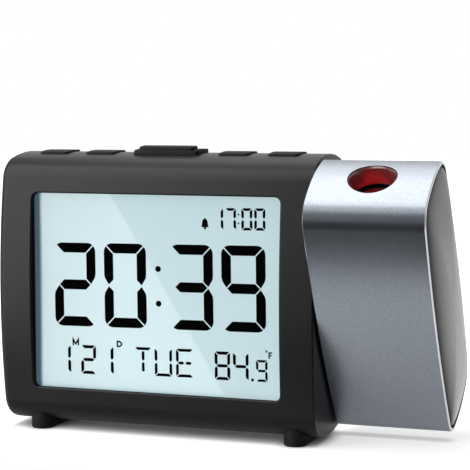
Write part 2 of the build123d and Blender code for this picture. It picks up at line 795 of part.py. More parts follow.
with BuildPart() as battery_contacts:
    for side in (-1, 1):
        end_x = bay_x + side * (bay_width - contact_thickness) / 2
        for row in (-1, 1):
            add(slab(contact_thickness, contact_width, bay_front_y, bay_back_y - lid_lap,
                     end_x, bay_z + row * bay_height / 4))
        spring_base = (end_x - side * (contact_thickness / 2 + spring_wire / 2),
                       (bay_front_y + bay_back_y) / 2, bay_z + side * bay_height / 4)
        with BuildLine():
            coil = Helix(spring_pitch, spring_length, spring_radius, spring_base, (-side, 0, 0), spring_cone)
        with BuildSketch(Plane(origin=coil @ 0, z_dir=coil % 0)):
            Circle(spring_wire)
        sweep(path=coil, is_frenet=True)
finish(battery_contacts.part, "battery_contacts")

# ---------------------------------------------------------------- rear fittings
with BuildPart() as power_socket:
    add(slab(socket_width, socket_height, socket_back_y - socket_length, socket_back_y, socket_x, socket_z))
    with BuildSketch(wall_plane(socket_back_y)):
        with Locations((-socket_x, socket_z)):
            Circle(socket_bore)
            Circle(socket_pin_radius, mode=Mode.SUBTRACT)
    extrude(amount=-socket_bore_depth, mode=Mode.SUBTRACT)
finish(power_socket.part, "power_socket")

with BuildPart() as buzzer:
    with BuildSketch(wall_plane(back_y - wall - buzzer_thickness)):
        with Locations((-buzzer_x, buzzer_z)):
            Circle(buzzer_radius)
    extrude(amount=buzzer_thickness)
    fillet(buzzer.edges().group_by(Axis.Y)[0], buzzer_thickness / 6)
    with BuildSketch(wall_plane(back_y - wall)):
        with Locations((-buzzer_x, buzzer_z)):
            Circle(sound_hole_radius)
    extrude(amount=-buzzer_thickness / 2, mode=Mode.SUBTRACT)
finish(buzzer.part, "buzzer")

# ---------------------------------------------------------------- pivot
with BuildPart() as friction_washer:
    with BuildSketch(body_section(washer_face)):
        Circle(washer_radius)
        Circle(hub_radius + hub_play, mode=Mode.SUBTRACT)
    extrude(amount=washer_thickness)
finish(friction_washer.part, "friction_washer")

with BuildPart() as hub_clip:
    with BuildSketch(arm_section(clip_face)):
        Circle(washer_radius)
        Circle(hub_radius - clip_groove, mode=Mode.SUBTRACT)
        with Locations((0, -washer_radius)):
            Rectangle(clip_opening, 2 * (washer_radius - clip_groove), mode=Mode.SUBTRACT)
    extrude(amount=clip_thickness)
finish(hub_clip.part, "hub_clip")

# ---------------------------------------------------------------- arm shells
with BuildPart() as arm_inner_cap:
    with BuildSketch(arm_section(arm_left)):
        add(side_profile(arm_depth, sleeve_wall + cap_gap))
    extrude(amount=inner_cap_thickness)
    with BuildSketch(arm_section(arm_left)):
        Circle(thrust_pad_radius)
    extrude(amount=thrust_gap - arm_gap)
    # Stop pin, which runs in the body's arc groove
    with BuildSketch(arm_section(arm_left)):
        with Locations((0, stop_radius)):
            Circle(stop_pin_radius)
    extrude(amount=stop_play - arm_gap - stop_depth)
    with BuildSketch(arm_section(hub_end)):
        Circle(hub_radius)
    extrude(amount=arm_left - hub_end)
    with BuildSketch(arm_section(arm_left + inner_cap_thickness)):
        with Locations(*chassis_screws):
            Circle(chassis_post_radius)
    extrude(amount=chassis_post_length)
    # Clip groove, wire bore and screw holes
    with BuildSketch(arm_section(clip_face - axial_play)):
        Circle(hub_radius)
        Circle(hub_radius - clip_groove - hub_play, mode=Mode.SUBTRACT)
    extrude(amount=clip_thickness + 2 * axial_play, mode=Mode.SUBTRACT)
    with BuildSketch(arm_section(hub_end)):
        Circle(hub_bore)
    extrude(amount=arm_right - hub_end, mode=Mode.SUBTRACT)
    with BuildSketch(arm_section(chassis_x)):
        with Locations(*chassis_screws):
            Circle(screw_radius + screw_play)
    extrude(amount=-chassis_post_length, mode=Mode.SUBTRACT)
finish(arm_inner_cap.part, "arm_inner_cap")

with BuildPart() as arm_sleeve:
    with BuildSketch(arm_section(arm_left)):
        add(side_profile(arm_depth))
    extrude(amount=arm_width)
    chamfer(arm_sleeve.faces().filter_by(Axis.X).edges(), rim_chamfer)
    with BuildSketch(arm_section(arm_left)):
        add(side_profile(arm_depth, sleeve_wall))
    extrude(amount=arm_width, mode=Mode.SUBTRACT)
    with BuildSketch(optic_plane(end_reach / 2)):
        Circle(aperture_radius)
    extrude(amount=end_reach, mode=Mode.SUBTRACT)
    # Slot that the focus wheel looks out of
    with BuildSketch(optic_plane(wheel_height - slot_gap)):
        with Locations((0, arm_depth / 2)):
            Rectangle(2 * slot_half, 2 * (arm_depth / 2 - wheel_offset))
    extrude(amount=wheel_thickness + 2 * slot_gap, mode=Mode.SUBTRACT)
finish(arm_sleeve.part, "arm_sleeve")

crown_profile = side_profile(arm_depth, sleeve_wall + crown_inset)
with BuildPart() as arm_end_cap:
    with BuildSketch(arm_section(arm_right - end_cap_recess - end_cap_flange)):
        add(side_profile(arm_depth, sleeve_wall + cap_gap))
    extrude(amount=end_cap_flange)
    with BuildSketch(arm_section(arm_right - end_cap_recess)):
        add(crown_profile)
    extrude(amount=end_cap_recess - crown_start)
    for angle in crown_angles:
        share = sin(radians(angle)) / sin(radians(crown_angles[-1]))
        with BuildSketch(arm_section(arm_right - crown_start + share * (crown_height + crown_start))):
            add(scale(crown_profile, by=cos(radians(angle)), mode=Mode.PRIVATE))
    loft()
finish(arm_end_cap.part, "arm_end_cap")

# ---------------------------------------------------------------- projector
with BuildPart() as aperture_ring:
    with BuildSketch(optic_plane(end_reach - ring_depth)):
        Circle(aperture_radius - ring_gap)
    extrude(amount=ring_depth)
    with BuildSketch(optic_plane(ring_flange_top)):
        Circle(aperture_radius + ring_flange)
    extrude(amount=-ring_flange_thickness)
    with BuildSketch(arm_section(arm_left)):
        Circle(end_reach - ring_set)
    extrude(amount=arm_width, mode=Mode.INTERSECT)
    with BuildSketch(optic_plane(end_reach - ring_depth)):
        Circle(aperture_radius - ring_gap - ring_wall)
    extrude(amount=ring_depth, mode=Mode.SUBTRACT)
finish(aperture_ring.part, "aperture_ring")

with BuildPart() as projector_chassis:
    with BuildSketch(arm_section(chassis_x)):
        with Locations((0, (chassis_plate_top + chassis_plate_bottom) / 2)):
            RectangleRounded(2 * chassis_plate_half, chassis_plate_top - chassis_plate_bottom,
                             chassis_plate_corner)
    extrude(amount=chassis_plate_thickness)
    # Webs from the plate to the light box and the tube
    with BuildSketch(arm_section(chassis_x)):
        for side in (-1, 1):
            with Locations((side * (light_box_half - web_thickness), (tube_top + light_box_bottom) / 2)):
                Rectangle(web_thickness, tube_top - light_box_bottom)
    extrude(amount=arm_mid - chassis_x)
    with BuildSketch(optic_plane(light_box_bottom)):
        Rectangle(2 * light_box_half, 2 * light_box_half)
    extrude(amount=tube_bottom - light_box_bottom)
    with BuildSketch(optic_plane(tube_bottom)):
        Circle(tube_radius)
    extrude(amount=tube_top - tube_bottom)
    # Bearing of the focus screw
    with BuildSketch(optic_plane(bearing_bottom)):
        with Locations((0, wheel_offset)):
            Circle(bearing_radius)
        with Locations((0, (wheel_offset + light_box_half) / 2)):
            Rectangle(2 * bearing_radius, wheel_offset - light_box_half)
    extrude(amount=journal_length)
    # Light path: stop, condenser bore and barrel bore
    with BuildSketch(optic_plane(light_box_bottom)):
        Circle(condenser_radius - condenser_seat)
    extrude(amount=condenser_height - light_box_bottom, mode=Mode.SUBTRACT)
    with BuildSketch(optic_plane(condenser_height)):
        Circle(condenser_radius + barrel_play)
    extrude(amount=tube_bottom - condenser_height, mode=Mode.SUBTRACT)
    with BuildSketch(optic_plane(tube_bottom)):
        Circle(barrel_radius + barrel_play)
    extrude(amount=tube_top - tube_bottom, mode=Mode.SUBTRACT)
    # Side slot for the image panel, and the nut's slot in the tube
    with BuildSketch(optic_plane(slide_height)):
        with Locations((light_box_half / 2, 0)):
            Rectangle(light_box_half + slide_size + 2 * slide_gap, slide_size + 2 * slide_gap)
    extrude(amount=slide_thickness + slide_gap, mode=Mode.SUBTRACT)
    with BuildSketch(optic_plane(nut_bottom - focus_travel - nut_slot_gap)):
        with Locations((0, tube_radius)):
            Rectangle(nut_arm_width + 2 * nut_slot_gap, 2 * (tube_radius - barrel_radius / 2))
    extrude(amount=nut_height + 2 * (focus_travel + nut_slot_gap), mode=Mode.SUBTRACT)
    with BuildSketch(optic_plane(bearing_bottom)):
        with Locations((0, wheel_offset)):
            Circle(focus_screw_radius + focus_play)
    extrude(amount=journal_length, mode=Mode.SUBTRACT)
    with BuildSketch(arm_section(chassis_x)):
        Circle(hub_bore)
        with Locations(*chassis_screws):
            Circle(screw_radius + screw_play)
    extrude(amount=chassis_plate_thickness, mode=Mode.SUBTRACT)
finish(projector_chassis.part, "projector_chassis")


def lens_shape(radius, rim, dome, base):
    """Plano-convex lens about the optical axis, its flat side at the base height."""
    sphere_radius = (radius ** 2 + dome ** 2) / (2 * dome)
    top = base + rim + dome
    half_angle = asin(radius / sphere_radius) / 2
    middle = (sphere_radius * sin(half_angle), top - sphere_radius * (1 - cos(half_angle)))
    with BuildPart() as lens:
        with BuildSketch(arm_section(arm_mid)):
            with BuildLine():
                Polyline((0, top), (0, base), (radius, base), (radius, base + rim))
                ThreePointArc((radius, base + rim), middle, (0, top))
            make_face()
        revolve(axis=Axis(arm_center, arm_up))
    return lens.part


finish(lens_shape(condenser_radius, condenser_rim, condenser_dome, condenser_height), "condenser_lens")
finish(lens_shape(lens_radius, lens_rim, lens_dome, lens_base), "projection_lens")

with BuildPart() as led_board:
    with BuildSketch(optic_plane(light_box_bottom)):
        RectangleRounded(led_board_size, led_board_size, led_board_thickness)
    extrude(amount=-led_board_thickness)
finish(led_board.part, "led_board")

with BuildPart() as projector_led:
    with BuildSketch(optic_plane(light_box_bottom)):
        Circle(led_radius)
    extrude(amount=led_height)
    fillet(projector_led.edges().group_by(lambda edge: edge.center().dot(arm_up))[-1], led_round)
finish(projector_led.part, "projector_led")

with BuildPart() as projector_lcd:
    with BuildSketch(optic_plane(slide_height)):
        Rectangle(slide_size, slide_size)
        with Locations(((slide_size + light_box_half) / 2, 0)):
            Rectangle(light_box_half, slide_size / 2)
    extrude(amount=slide_thickness)
finish(projector_lcd.part, "projector_lcd")

with BuildPart() as arm_screws:
    for across, up in chassis_screws:
        add(pan_screw(seat_on(arm_section(chassis_x + chassis_plate_thickness), across, up),
                      short_screw_length))
finish(arm_screws.part, "arm_screws")

# ---------------------------------------------------------------- focusing parts
with BuildPart() as lens_barrel:
    with BuildSketch(optic_plane(barrel_bottom)):
        Circle(barrel_radius)
    extrude(amount=barrel_top - barrel_bottom)
    with BuildSketch(optic_plane(nut_bottom)):
        with Locations((0, wheel_offset)):
            Circle(focus_screw_radius + focus_play + nut_wall)
        with Locations((0, wheel_offset / 2)):
            Rectangle(nut_arm_width, wheel_offset)
    extrude(amount=nut_height)
    with BuildSketch(optic_plane(barrel_bottom)):
        Circle(barrel_radius - barrel_wall - lens_seat)
        with Locations((0, wheel_offset)):
            Circle(focus_screw_radius + focus_play)
    extrude(amount=barrel_top - barrel_bottom, mode=Mode.SUBTRACT)
    for base, height in ((barrel_bottom, lens_base - lens_seat - barrel_bottom),
                         (lens_base, barrel_top - lens_base)):
        with BuildSketch(optic_plane(base)):
            Circle(barrel_radius - barrel_wall)
        extrude(amount=height, mode=Mode.SUBTRACT)
finish(lens_barrel.part, "lens_barrel")

with BuildPart() as focus_wheel:
    with BuildSketch(optic_plane(wheel_height)):
        with Locations((0, wheel_offset)):
            Circle(wheel_radius)
            with PolarLocations(wheel_radius, wheel_notches):
                Rectangle(notch_size, notch_size, rotation=45, mode=Mode.SUBTRACT)
    extrude(amount=wheel_thickness)
    with BuildSketch(optic_plane(bearing_bottom)):
        with Locations((0, wheel_offset)):
            Circle(focus_screw_radius)
    extrude(amount=focus_screw_top - bearing_bottom)
finish(focus_wheel.part, "focus_wheel")
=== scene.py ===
"""Dressed model of a projection alarm clock: shells, keys, display, projector arm and their finishes.

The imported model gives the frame. Its visible shells, keys, feet and arm are replaced by finer surfaces
worked out with numpy in the same place, and every other node keeps its solid and gets a finish.
Pieces are sized in millimetres and turned to metres where a mesh is made; lamps and table are in metres.
"""

import functools
import logging
import math
from collections.abc import Callable
from dataclasses import dataclass
from enum import Enum

import bpy
import numpy as np
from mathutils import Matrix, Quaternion, Vector


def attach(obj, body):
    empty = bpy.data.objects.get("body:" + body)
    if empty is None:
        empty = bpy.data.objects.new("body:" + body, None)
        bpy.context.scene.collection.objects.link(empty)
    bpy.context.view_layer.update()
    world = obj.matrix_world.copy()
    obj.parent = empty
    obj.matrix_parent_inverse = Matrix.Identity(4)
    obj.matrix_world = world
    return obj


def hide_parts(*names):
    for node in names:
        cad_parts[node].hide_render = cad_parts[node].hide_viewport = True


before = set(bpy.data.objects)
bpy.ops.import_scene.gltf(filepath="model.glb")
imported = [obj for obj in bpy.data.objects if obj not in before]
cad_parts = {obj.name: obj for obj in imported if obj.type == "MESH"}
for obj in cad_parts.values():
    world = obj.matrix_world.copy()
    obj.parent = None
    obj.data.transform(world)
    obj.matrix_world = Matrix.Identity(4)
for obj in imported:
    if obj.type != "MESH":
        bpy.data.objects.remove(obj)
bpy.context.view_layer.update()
log = logging.getLogger("projection_clock")

MM = 0.001
TINY = 1e-9
LEAST_CORNER = 1e-4
QUARTER = math.pi / 2
NOISE_SPAN = (0.3, 0.7)
Level = float | np.ndarray
Place = Callable[[np.ndarray, Level], np.ndarray]
Value = float | tuple | bpy.types.NodeSocket


# ------------------------------------------------------------------------------ grids and meshes
def columns(*parts: Level) -> np.ndarray:
    """Points from their coordinates, each an array or one number for all."""
    return np.stack(np.broadcast_arrays(*parts), -1)


@dataclass
class Grid:
    """A surface as rows of points, each a closed loop, with both ends closed to a pole, or a ring of rows."""

    rows: list[np.ndarray]
    ring: bool = False

    def faces(self) -> tuple[np.ndarray, list[list[int]]]:
        """Vertices and faces of the grid.

        Vertex (i, j) has index i * n + j. Quads join rows i and i + 1, and wrap from column n - 1 to 0.
        A pole is the mean of its row, joined to it by a fan. A ring joins the last row to the first.

        Returns:
            The vertex array and the list of faces.
        """
        points = np.stack(self.rows)
        m, n, _ = points.shape
        row, col = np.arange(m if self.ring else m - 1)[:, None], np.arange(n)
        after, beside = (row + 1) % m * n, (col + 1) % n
        quads = columns(row * n + col, row * n + beside, after + beside, after + col)
        verts, faces = points.reshape(-1, 3), quads.reshape(-1, 4).tolist()
        if not self.ring:
            last = (m - 1) * n
            faces += columns(beside, col, m * n).tolist()
            faces += columns(last + col, last + beside, m * n + 1).tolist()
            verts = np.vstack([verts, points[0].mean(0), points[-1].mean(0)])
        return verts, faces


def read(items: bpy.types.bpy_prop_collection, key: str, width: int = 1, kind: type = float) -> np.ndarray:
    """Reads one property of a mesh's vertices, corners, triangles or faces.

    Args:
        items: what is read.
        key: the property's name.
        width: numbers per item.
        kind: their type.

    Returns:
        An array with a row per item, or a flat one where width is 1.
    """
    values = np.empty(len(items) * width, kind)
    items.foreach_get(key, values)
    return values.reshape(-1, width) if width > 1 else values


def outward(mesh: bpy.types.Mesh) -> None:
    """Turns a closed mesh inside out if its signed volume is negative.

    Args:
        mesh: the mesh to check.
    """
    mesh.calc_loop_triangles()
    corners = read(mesh.loop_triangles, "vertices", 3, np.int32)
    a, b, c = read(mesh.vertices, "co", 3)[corners].transpose(1, 0, 2)
    if (a * np.cross(b, c)).sum() < 0:
        mesh.flip_normals()


def enclosed(verts: np.ndarray, faces: list[list[int]]) -> float:
    """Six times the volume inside closed faces of three or four corners, negative if they are inside out."""
    a, b, c, d = verts[np.array([(*face, face[-1])[:4] for face in faces])].transpose(1, 0, 2)
    return float((a * (np.cross(b, c) + np.cross(c, d))).sum())


def linked(name: str, data: bpy.types.ID) -> bpy.types.Object:
    """Makes an object and links it to the scene.

    Args:
        name: its name.
        data: its mesh, camera or lamp.

    Returns:
        The object.
    """
    made = bpy.data.objects.new(name, data)
    bpy.context.scene.collection.objects.link(made)
    return made


def mesh_object(name: str, *grids: Grid, sharp_deg: float = 35.0) -> bpy.types.Object:
    """Makes an object of closed grids, smooth except at edges sharper than an angle.

    Each of several grids is turned outwards by itself, and then the mesh as a whole.

    Args:
        name: the piece's name.
        grids: its surfaces in millimetres.
        sharp_deg: edges that turn by more stay crisp.

    Returns:
        The linked object.
    """
    points, faces, base = [], [], 0
    for grid in grids:
        verts, own = grid.faces()
        inside_out = len(grids) > 1 and enclosed(verts, own) < 0
        faces += [[index + base for index in (face[::-1] if inside_out else face)] for face in own]
        points.append(verts)
        base += len(verts)
    mesh = bpy.data.meshes.new(name)
    mesh.from_pydata((np.vstack(points) * MM).tolist(), [], faces)
    mesh.validate()
    outward(mesh)
    mesh.shade_smooth()
    mesh.set_sharp_from_angle(angle=math.radians(sharp_deg))
    return linked(name, mesh)


def carve(piece: bpy.types.Object, cutters: list[bpy.types.Object]) -> None:
    """Cuts closed shapes out of a piece and removes them.

    Args:
        piece: the piece that is cut.
        cutters: closed objects, taken away one after the other.
    """
    for shape in cutters:
        cut = piece.modifiers.new("cut", "BOOLEAN")
        cut.operation, cut.solver, cut.object = "DIFFERENCE", "EXACT", shape
    carved = bpy.data.meshes.new_from_object(piece.evaluated_get(bpy.context.evaluated_depsgraph_get()))
    piece.modifiers.clear()
    old, piece.data = piece.data, carved
    carved.name = old.name
    bpy.data.meshes.remove(old)
    for data in [shape.data for shape in cutters]:
        bpy.data.meshes.remove(data)


def skin_normals(piece: bpy.types.Object, skins: list[Callable[[np.ndarray], np.ndarray]]) -> None:
    """Gives the corners that lie on a known skin that skin's own normal, and the rest their face's.

    A skin is a function of points in millimetres that gives the signed distance to it; its normal is
    the distance's gradient by central differences.

    Args:
        piece: the piece, in metres.
        skins: signed distance functions.
    """
    reach, step, facing_least = 0.02, 1e-3, 0.8
    mesh = piece.data
    points = read(mesh.vertices, "co", 3) / MM
    corner_vertex = read(mesh.loops, "vertex_index", 1, np.int32)
    face_size = read(mesh.polygons, "loop_total", 1, np.int32)
    face_of_corner = np.repeat(np.arange(len(face_size)), face_size)
    flat = read(mesh.polygons, "normal", 3)[face_of_corner]
    normals = flat.copy()
    for skin in skins:
        near = np.abs(skin(points)) < reach
        lost = np.bincount(face_of_corner, ~near[corner_vertex], minlength=len(face_size))
        gradient = np.stack([skin(points + step * axis) - skin(points - step * axis)
                             for axis in np.eye(3)], 1)
        gradient /= np.linalg.norm(gradient, axis=1, keepdims=True) + TINY
        own = gradient[corner_vertex]
        facing = (own * flat).sum(1)
        use = (lost[face_of_corner] == 0) & (np.abs(facing) > facing_least)
        normals[use] = own[use] * np.sign(facing[use])[:, None]
    mesh.shade_smooth()
    mesh.normals_split_custom_set(normals.tolist())


# ------------------------------------------------------------------------------ outlines
@dataclass(frozen=True)
class SideProfile:
    """Cross-section shared by body and arm: a disc about the pivot cut by two bowed faces.

    It is convex and smooth, so a point on it is known by the direction t of its normal:
    centre(t) + radius(t) * (cos t, sin t), where centre and radius belong to the face, the corner or
    the end arc whose span holds t.
    """

    depth: float
    reach: float = 45.5
    bow: float = 340.0
    corner: float = 8.0

    @property
    def face_centre(self) -> float:
        """Distance from the pivot to the centre of a bowed face's arc."""
        return self.bow - self.depth / 2

    @property
    def corner_centre(self) -> tuple[float, float]:
        """Centre of the corner arc, inside both the end arc and the face arc.

        Returns:
            Its distances across and up from the pivot.
        """
        a, b, c = self.reach - self.corner, self.bow - self.corner, self.face_centre
        across = (b * b - a * a - c * c) / (2 * c)
        return across, math.sqrt(a * a - across * across)

    @property
    def spans(self) -> tuple[float, float]:
        """Directions where the face meets the corner and where the corner meets the end."""
        across, up = self.corner_centre
        return math.atan2(up, across + self.face_centre), math.atan2(up, across)

    def loop(self, inset: float = 0.0, counts: tuple[int, int, int] = (24, 12, 20)) -> np.ndarray:
        """Points round the profile, anticlockwise from the lower end of the back face.

        Args:
            inset: distance inside the profile, which shortens every radius.
            counts: points on each face, corner and end.

        Returns:
            An array of (across, up) pairs.
        """
        face, corner = self.spans
        across, up = self.corner_centre
        points = []
        for sign, base in ((1, 0.0), (-1, math.pi)):
            far = base + math.pi
            for y, z, radius, start, stop, count in (
                    (-sign * self.face_centre, 0.0, self.bow, base - face, base + face, counts[0]),
                    (sign * across, sign * up, self.corner, base + face, base + corner, counts[1]),
                    (0.0, 0.0, self.reach, base + corner, far - corner, counts[2]),
                    (-sign * across, sign * up, self.corner, far - corner, far - face, counts[1])):
                points.append(arc(y, z, radius - inset, np.linspace(start, stop, count, endpoint=False)))
        return np.vstack(points)

    def distance(self, across: np.ndarray, up: np.ndarray) -> np.ndarray:
        """Signed distance to the profile: to the end, the face or the corner arc, by direction.

        Args:
            across: distances in front of or behind the pivot.
            up: heights from it.

        Returns:
            The distances, negative inside.
        """
        y, z = np.abs(across), np.abs(up)
        face_end, corner_end = self.spans
        corner_y, corner_z = self.corner_centre
        at_end = np.arctan2(z, y) >= corner_end
        at_face = np.arctan2(z, y + self.face_centre) <= face_end
        return np.where(at_end, np.hypot(y, z) - self.reach,
                        np.where(at_face, np.hypot(y + self.face_centre, z) - self.bow,
                                 np.hypot(y - corner_y, z - corner_z) - self.corner))

    def under(self, across: np.ndarray) -> np.ndarray:
        """Drop from the pivot's height to the underside.

        Args:
            across: distances in front of or behind the pivot.

        Returns:
            The drop at each.
        """
        y = np.abs(across)
        corner_y, corner_z = self.corner_centre
        end = np.sqrt(np.maximum(self.reach ** 2 - y ** 2, 0))
        corner = corner_z + np.sqrt(np.maximum(self.corner ** 2 - (y - corner_y) ** 2, 0))
        return np.where(y < self.reach * math.cos(self.spans[1]), end, corner)


def arc(x: float, y: float, radius: float, turn: np.ndarray) -> np.ndarray:
    """Points about a centre in the given directions."""
    return columns(x + radius * np.cos(turn), y + radius * np.sin(turn))


def disc(x: float, y: float, radius: float, steps: int = 28) -> np.ndarray:
    """Points round a circle."""
    return arc(x, y, radius, np.linspace(0, 4 * QUARTER, steps, endpoint=False))


def rounded_rectangle(width: float, height: float, corner: float, steps: int = 6, side: int = 1,
                      middle: tuple[float, float] = (0.0, 0.0)) -> np.ndarray:
    """Points round a rectangle with round corners, anticlockwise from the right side.

    Args:
        width: full width.
        height: full height.
        corner: corner radius.
        steps: points on each corner.
        side: spans on each straight side.
        middle: its centre.

    Returns:
        An array of (x, y) pairs.
    """
    corner = max(corner, LEAST_CORNER)
    arcs = [arc(sx * (width / 2 - corner), sy * (height / 2 - corner), corner,
                np.linspace(quarter * QUARTER, (quarter + 1) * QUARTER, steps))
            for quarter, (sx, sy) in enumerate(((1, 1), (-1, 1), (-1, -1), (1, -1)))]
    share = np.linspace(0, 1, side, endpoint=False)[1:, None]
    return np.vstack([part for own, after in zip(arcs, arcs[1:] + arcs[:1])
                      for part in (own, own[-1] * (1 - share) + after[0] * share)]) + middle


def prism(ring: np.ndarray, place: Place, start: Level, stop: Level) -> Grid:
    """Closed prism over a ring of flat pairs, which a function puts at two third coordinates."""
    return Grid([place(ring, start), place(ring, stop)])


def cutter(ring: np.ndarray, place: Place, start: Level, stop: Level) -> bpy.types.Object:
    """Closed prism as an object to carve with."""
    return mesh_object("cutter", prism(ring, place, start, stop))


# ------------------------------------------------------------------------------ sizes of the whole
@dataclass(frozen=True)
class Layout:
    """Places that more than one sub-assembly uses, in millimetres."""

    body_left: float = -75.1
    body_right: float = 34.4
    arm_left: float = 34.9
    arm_right: float = 72.7
    pivot_height: float = 47.1
    tilt_deg: float = 30.5
    window_x: float = -19.8
    window_width: float = 85.8
    window_height: float = 64.5
    window_corner: float = 2.0
    face_y: float = -20.0
    back_y: float = 20.0
    lens_front: float = -16.8
    seam_y: float = 9.5
    seam_gap: float = 0.3
    key_y: float = -2.0

    @property
    def window_centre(self) -> tuple[float, float]:
        """The window's middle, across and up."""
        return self.window_x, self.pivot_height

    @property
    def arm_mid(self) -> float:
        """Middle of the sleeve, where the optical axis crosses the pivot axis."""
        return (self.arm_left + self.arm_right) / 2

    def face(self, up: np.ndarray) -> np.ndarray:
        """Depth of the bowed front face at a height from the pivot."""
        return self.face_y + BODY_PROFILE.bow - np.sqrt(BODY_PROFILE.bow ** 2 - up ** 2)

    def in_front_view(self, ring: np.ndarray, depth: Level) -> np.ndarray:
        """Points from (across, height) pairs and a depth."""
        return columns(ring[:, 0], depth, ring[:, 1])

    def from_above(self, ring: np.ndarray, height: Level) -> np.ndarray:
        """Points from (across, depth) pairs and a height."""
        return columns(ring[:, 0], ring[:, 1], height)

    def along_x(self, loop: np.ndarray, x: Level) -> np.ndarray:
        """Points from the body's cross-section at x."""
        return columns(x, loop[:, 0], self.pivot_height + loop[:, 1])

    def along_arm(self, loop: np.ndarray, x: Level) -> np.ndarray:
        """Points from the arm's cross-section at x, turned forward with the arm."""
        (across, up), (c, s) = loop.T, self.tilt
        return columns(x, across * c - up * s, self.pivot_height + across * s + up * c)

    def along_optics(self, ring: np.ndarray, height: Level) -> np.ndarray:
        """Points from (right, back) pairs square to the optical axis and a height along it."""
        return self.along_arm(columns(ring[:, 1], height), self.arm_mid + ring[:, 0])

    def to_arm(self, points: np.ndarray) -> np.ndarray:
        """The points' across and up in the arm's own cross-section."""
        y, z, (c, s) = points[:, 1], points[:, 2] - self.pivot_height, self.tilt
        return columns(y * c + z * s, z * c - y * s)

    @property
    def tilt(self) -> tuple[float, float]:
        """Cosine and sine of the arm's tilt."""
        return math.cos(math.radians(self.tilt_deg)), math.sin(math.radians(self.tilt_deg))


LAYOUT = Layout()
BODY_PROFILE = SideProfile(depth=40.0)
ARM_PROFILE = SideProfile(depth=38.0)


# ------------------------------------------------------------------------------ node trees
class Graph:
    """A node tree with short ways to add and join nodes. A value is a socket or a constant."""

    def __init__(self, tree: bpy.types.NodeTree) -> None:
        """Takes the tree."""
        self.tree = tree

    def put(self, value: Value, socket: bpy.types.NodeSocket) -> None:
        """Joins an input to a socket or sets it to a constant, where a colour gets its alpha.

        Args:
            value: the socket or the constant.
            socket: the input.
        """
        if isinstance(value, bpy.types.NodeSocket):
            self.tree.links.new(value, socket)
        else:
            socket.default_value = (*value, 1) if socket.type == "RGBA" else value

    def node(self, kind: str, inputs: dict | None = None, **attributes: object) -> bpy.types.Node:
        """Adds a node.

        Args:
            kind: its type after ShaderNode.
            inputs: values of its inputs by name or number.
            attributes: its settings.

        Returns:
            The node.
        """
        made = self.tree.nodes.new(f"ShaderNode{kind}")
        for key, value in attributes.items():
            setattr(made, key, value)
        for key, value in (inputs or {}).items():
            self.put(value, made.inputs[key])
        return made

    def math(self, operation: str, *values: Value, **attributes: object) -> bpy.types.NodeSocket:
        """Result of a Math node on its values."""
        return self.node("Math", dict(enumerate(values)), operation=operation, **attributes).outputs[0]

    def vector(self, operation: str, *values: Value) -> bpy.types.NodeSocket:
        """Result of a Vector Math node: a vector, or a value for LENGTH."""
        made = self.node("VectorMath", dict(enumerate(values)), operation=operation)
        return made.outputs["Value" if operation == "LENGTH" else "Vector"]

    def remap(self, value: Value, start: float, stop: float, low: float = 0.0, high: float = 1.0,
              kind: str = "LINEAR") -> bpy.types.NodeSocket:
        """Maps start..stop of a value to low..high, held beyond."""
        ends = {"Value": value, "From Min": start, "From Max": stop, "To Min": low, "To Max": high}
        return self.node("MapRange", ends, interpolation_type=kind).outputs["Result"]

    def mix(self, factor: Value, low: Value, high: Value) -> bpy.types.NodeSocket:
        """Mixes two colours by a factor."""
        return self.node("Mix", {0: factor, 6: low, 7: high}, data_type="RGBA").outputs[2]

    def choose(self, factor: Value, low: Value, high: Value) -> bpy.types.NodeSocket:
        """Mixes two values by a factor."""
        return self.node("Mix", {0: factor, 2: low, 3: high}, data_type="FLOAT").outputs[0]

    def place(self, kind: str = "Object") -> bpy.types.NodeSocket:
        """Texture coordinates."""
        return self.node("TexCoord").outputs[kind]

    def axis(self, name: str, kind: str = "Object") -> bpy.types.NodeSocket:
        """One texture coordinate."""
        return self.node("SeparateXYZ", {0: self.place(kind)}).outputs[name]


class Effects:
    """Shader node groups that several finishes share, each built once."""

    @staticmethod
    def start(name: str, inputs: dict[str, float], outputs: tuple[str, ...]) -> tuple:
        """Starts a group with float inputs and outputs.

        Args:
            name: the group's name.
            inputs: each input's name and default.
            outputs: the outputs' names.

        Returns:
            The group's graph, its input node's outputs and its output node's inputs.
        """
        tree = bpy.data.node_groups.new(name, "ShaderNodeTree")
        for label, value in inputs.items():
            socket = tree.interface.new_socket(label, in_out="INPUT", socket_type="NodeSocketFloat")
            socket.default_value = value
        for label in outputs:
            tree.interface.new_socket(label, in_out="OUTPUT", socket_type="NodeSocketFloat")
        return Graph(tree), tree.nodes.new("NodeGroupInput").outputs, tree.nodes.new("NodeGroupOutput").inputs

    @staticmethod
    @functools.cache
    def fine_grain() -> bpy.types.NodeTree:
        """Moulded grain: fine noise for height, and a slow cloud for colour and roughness.

        Returns:
            The group.
        """
        graph, given, out = Effects.start("fine_grain", {"Scale": 9000.0, "Cloud Scale": 60.0},
                                          ("Height", "Cloud"))
        for scale, detail, label in (("Scale", 2.0, "Height"), ("Cloud Scale", 4.0, "Cloud")):
            noise = graph.node("TexNoise", {"Vector": graph.place(), "Scale": given[scale], "Detail": detail})
            graph.put(noise.outputs["Fac"], out[label])
        return graph.tree

    @staticmethod
    @functools.cache
    def brushing() -> bpy.types.NodeTree:
        """Brush lines square to X: noise squeezed along X only, fine and coarse.

        Returns:
            The group.
        """
        graph, given, out = Effects.start("brushing", {"Lines": 9000.0, "Run": 90.0}, ("Line", "Streak"))
        scales = graph.node("CombineXYZ", {"X": given["Lines"], "Y": given["Run"], "Z": given["Run"]})
        stretch = graph.vector("MULTIPLY", graph.place(), scales.outputs["Vector"])
        for label, scale in (("Line", 1.0), ("Streak", 0.15)):
            noise = graph.node("TexNoise", {"Vector": stretch, "Scale": scale, "Detail": 3.0})
            graph.put(noise.outputs["Fac"], out[label])
        return graph.tree


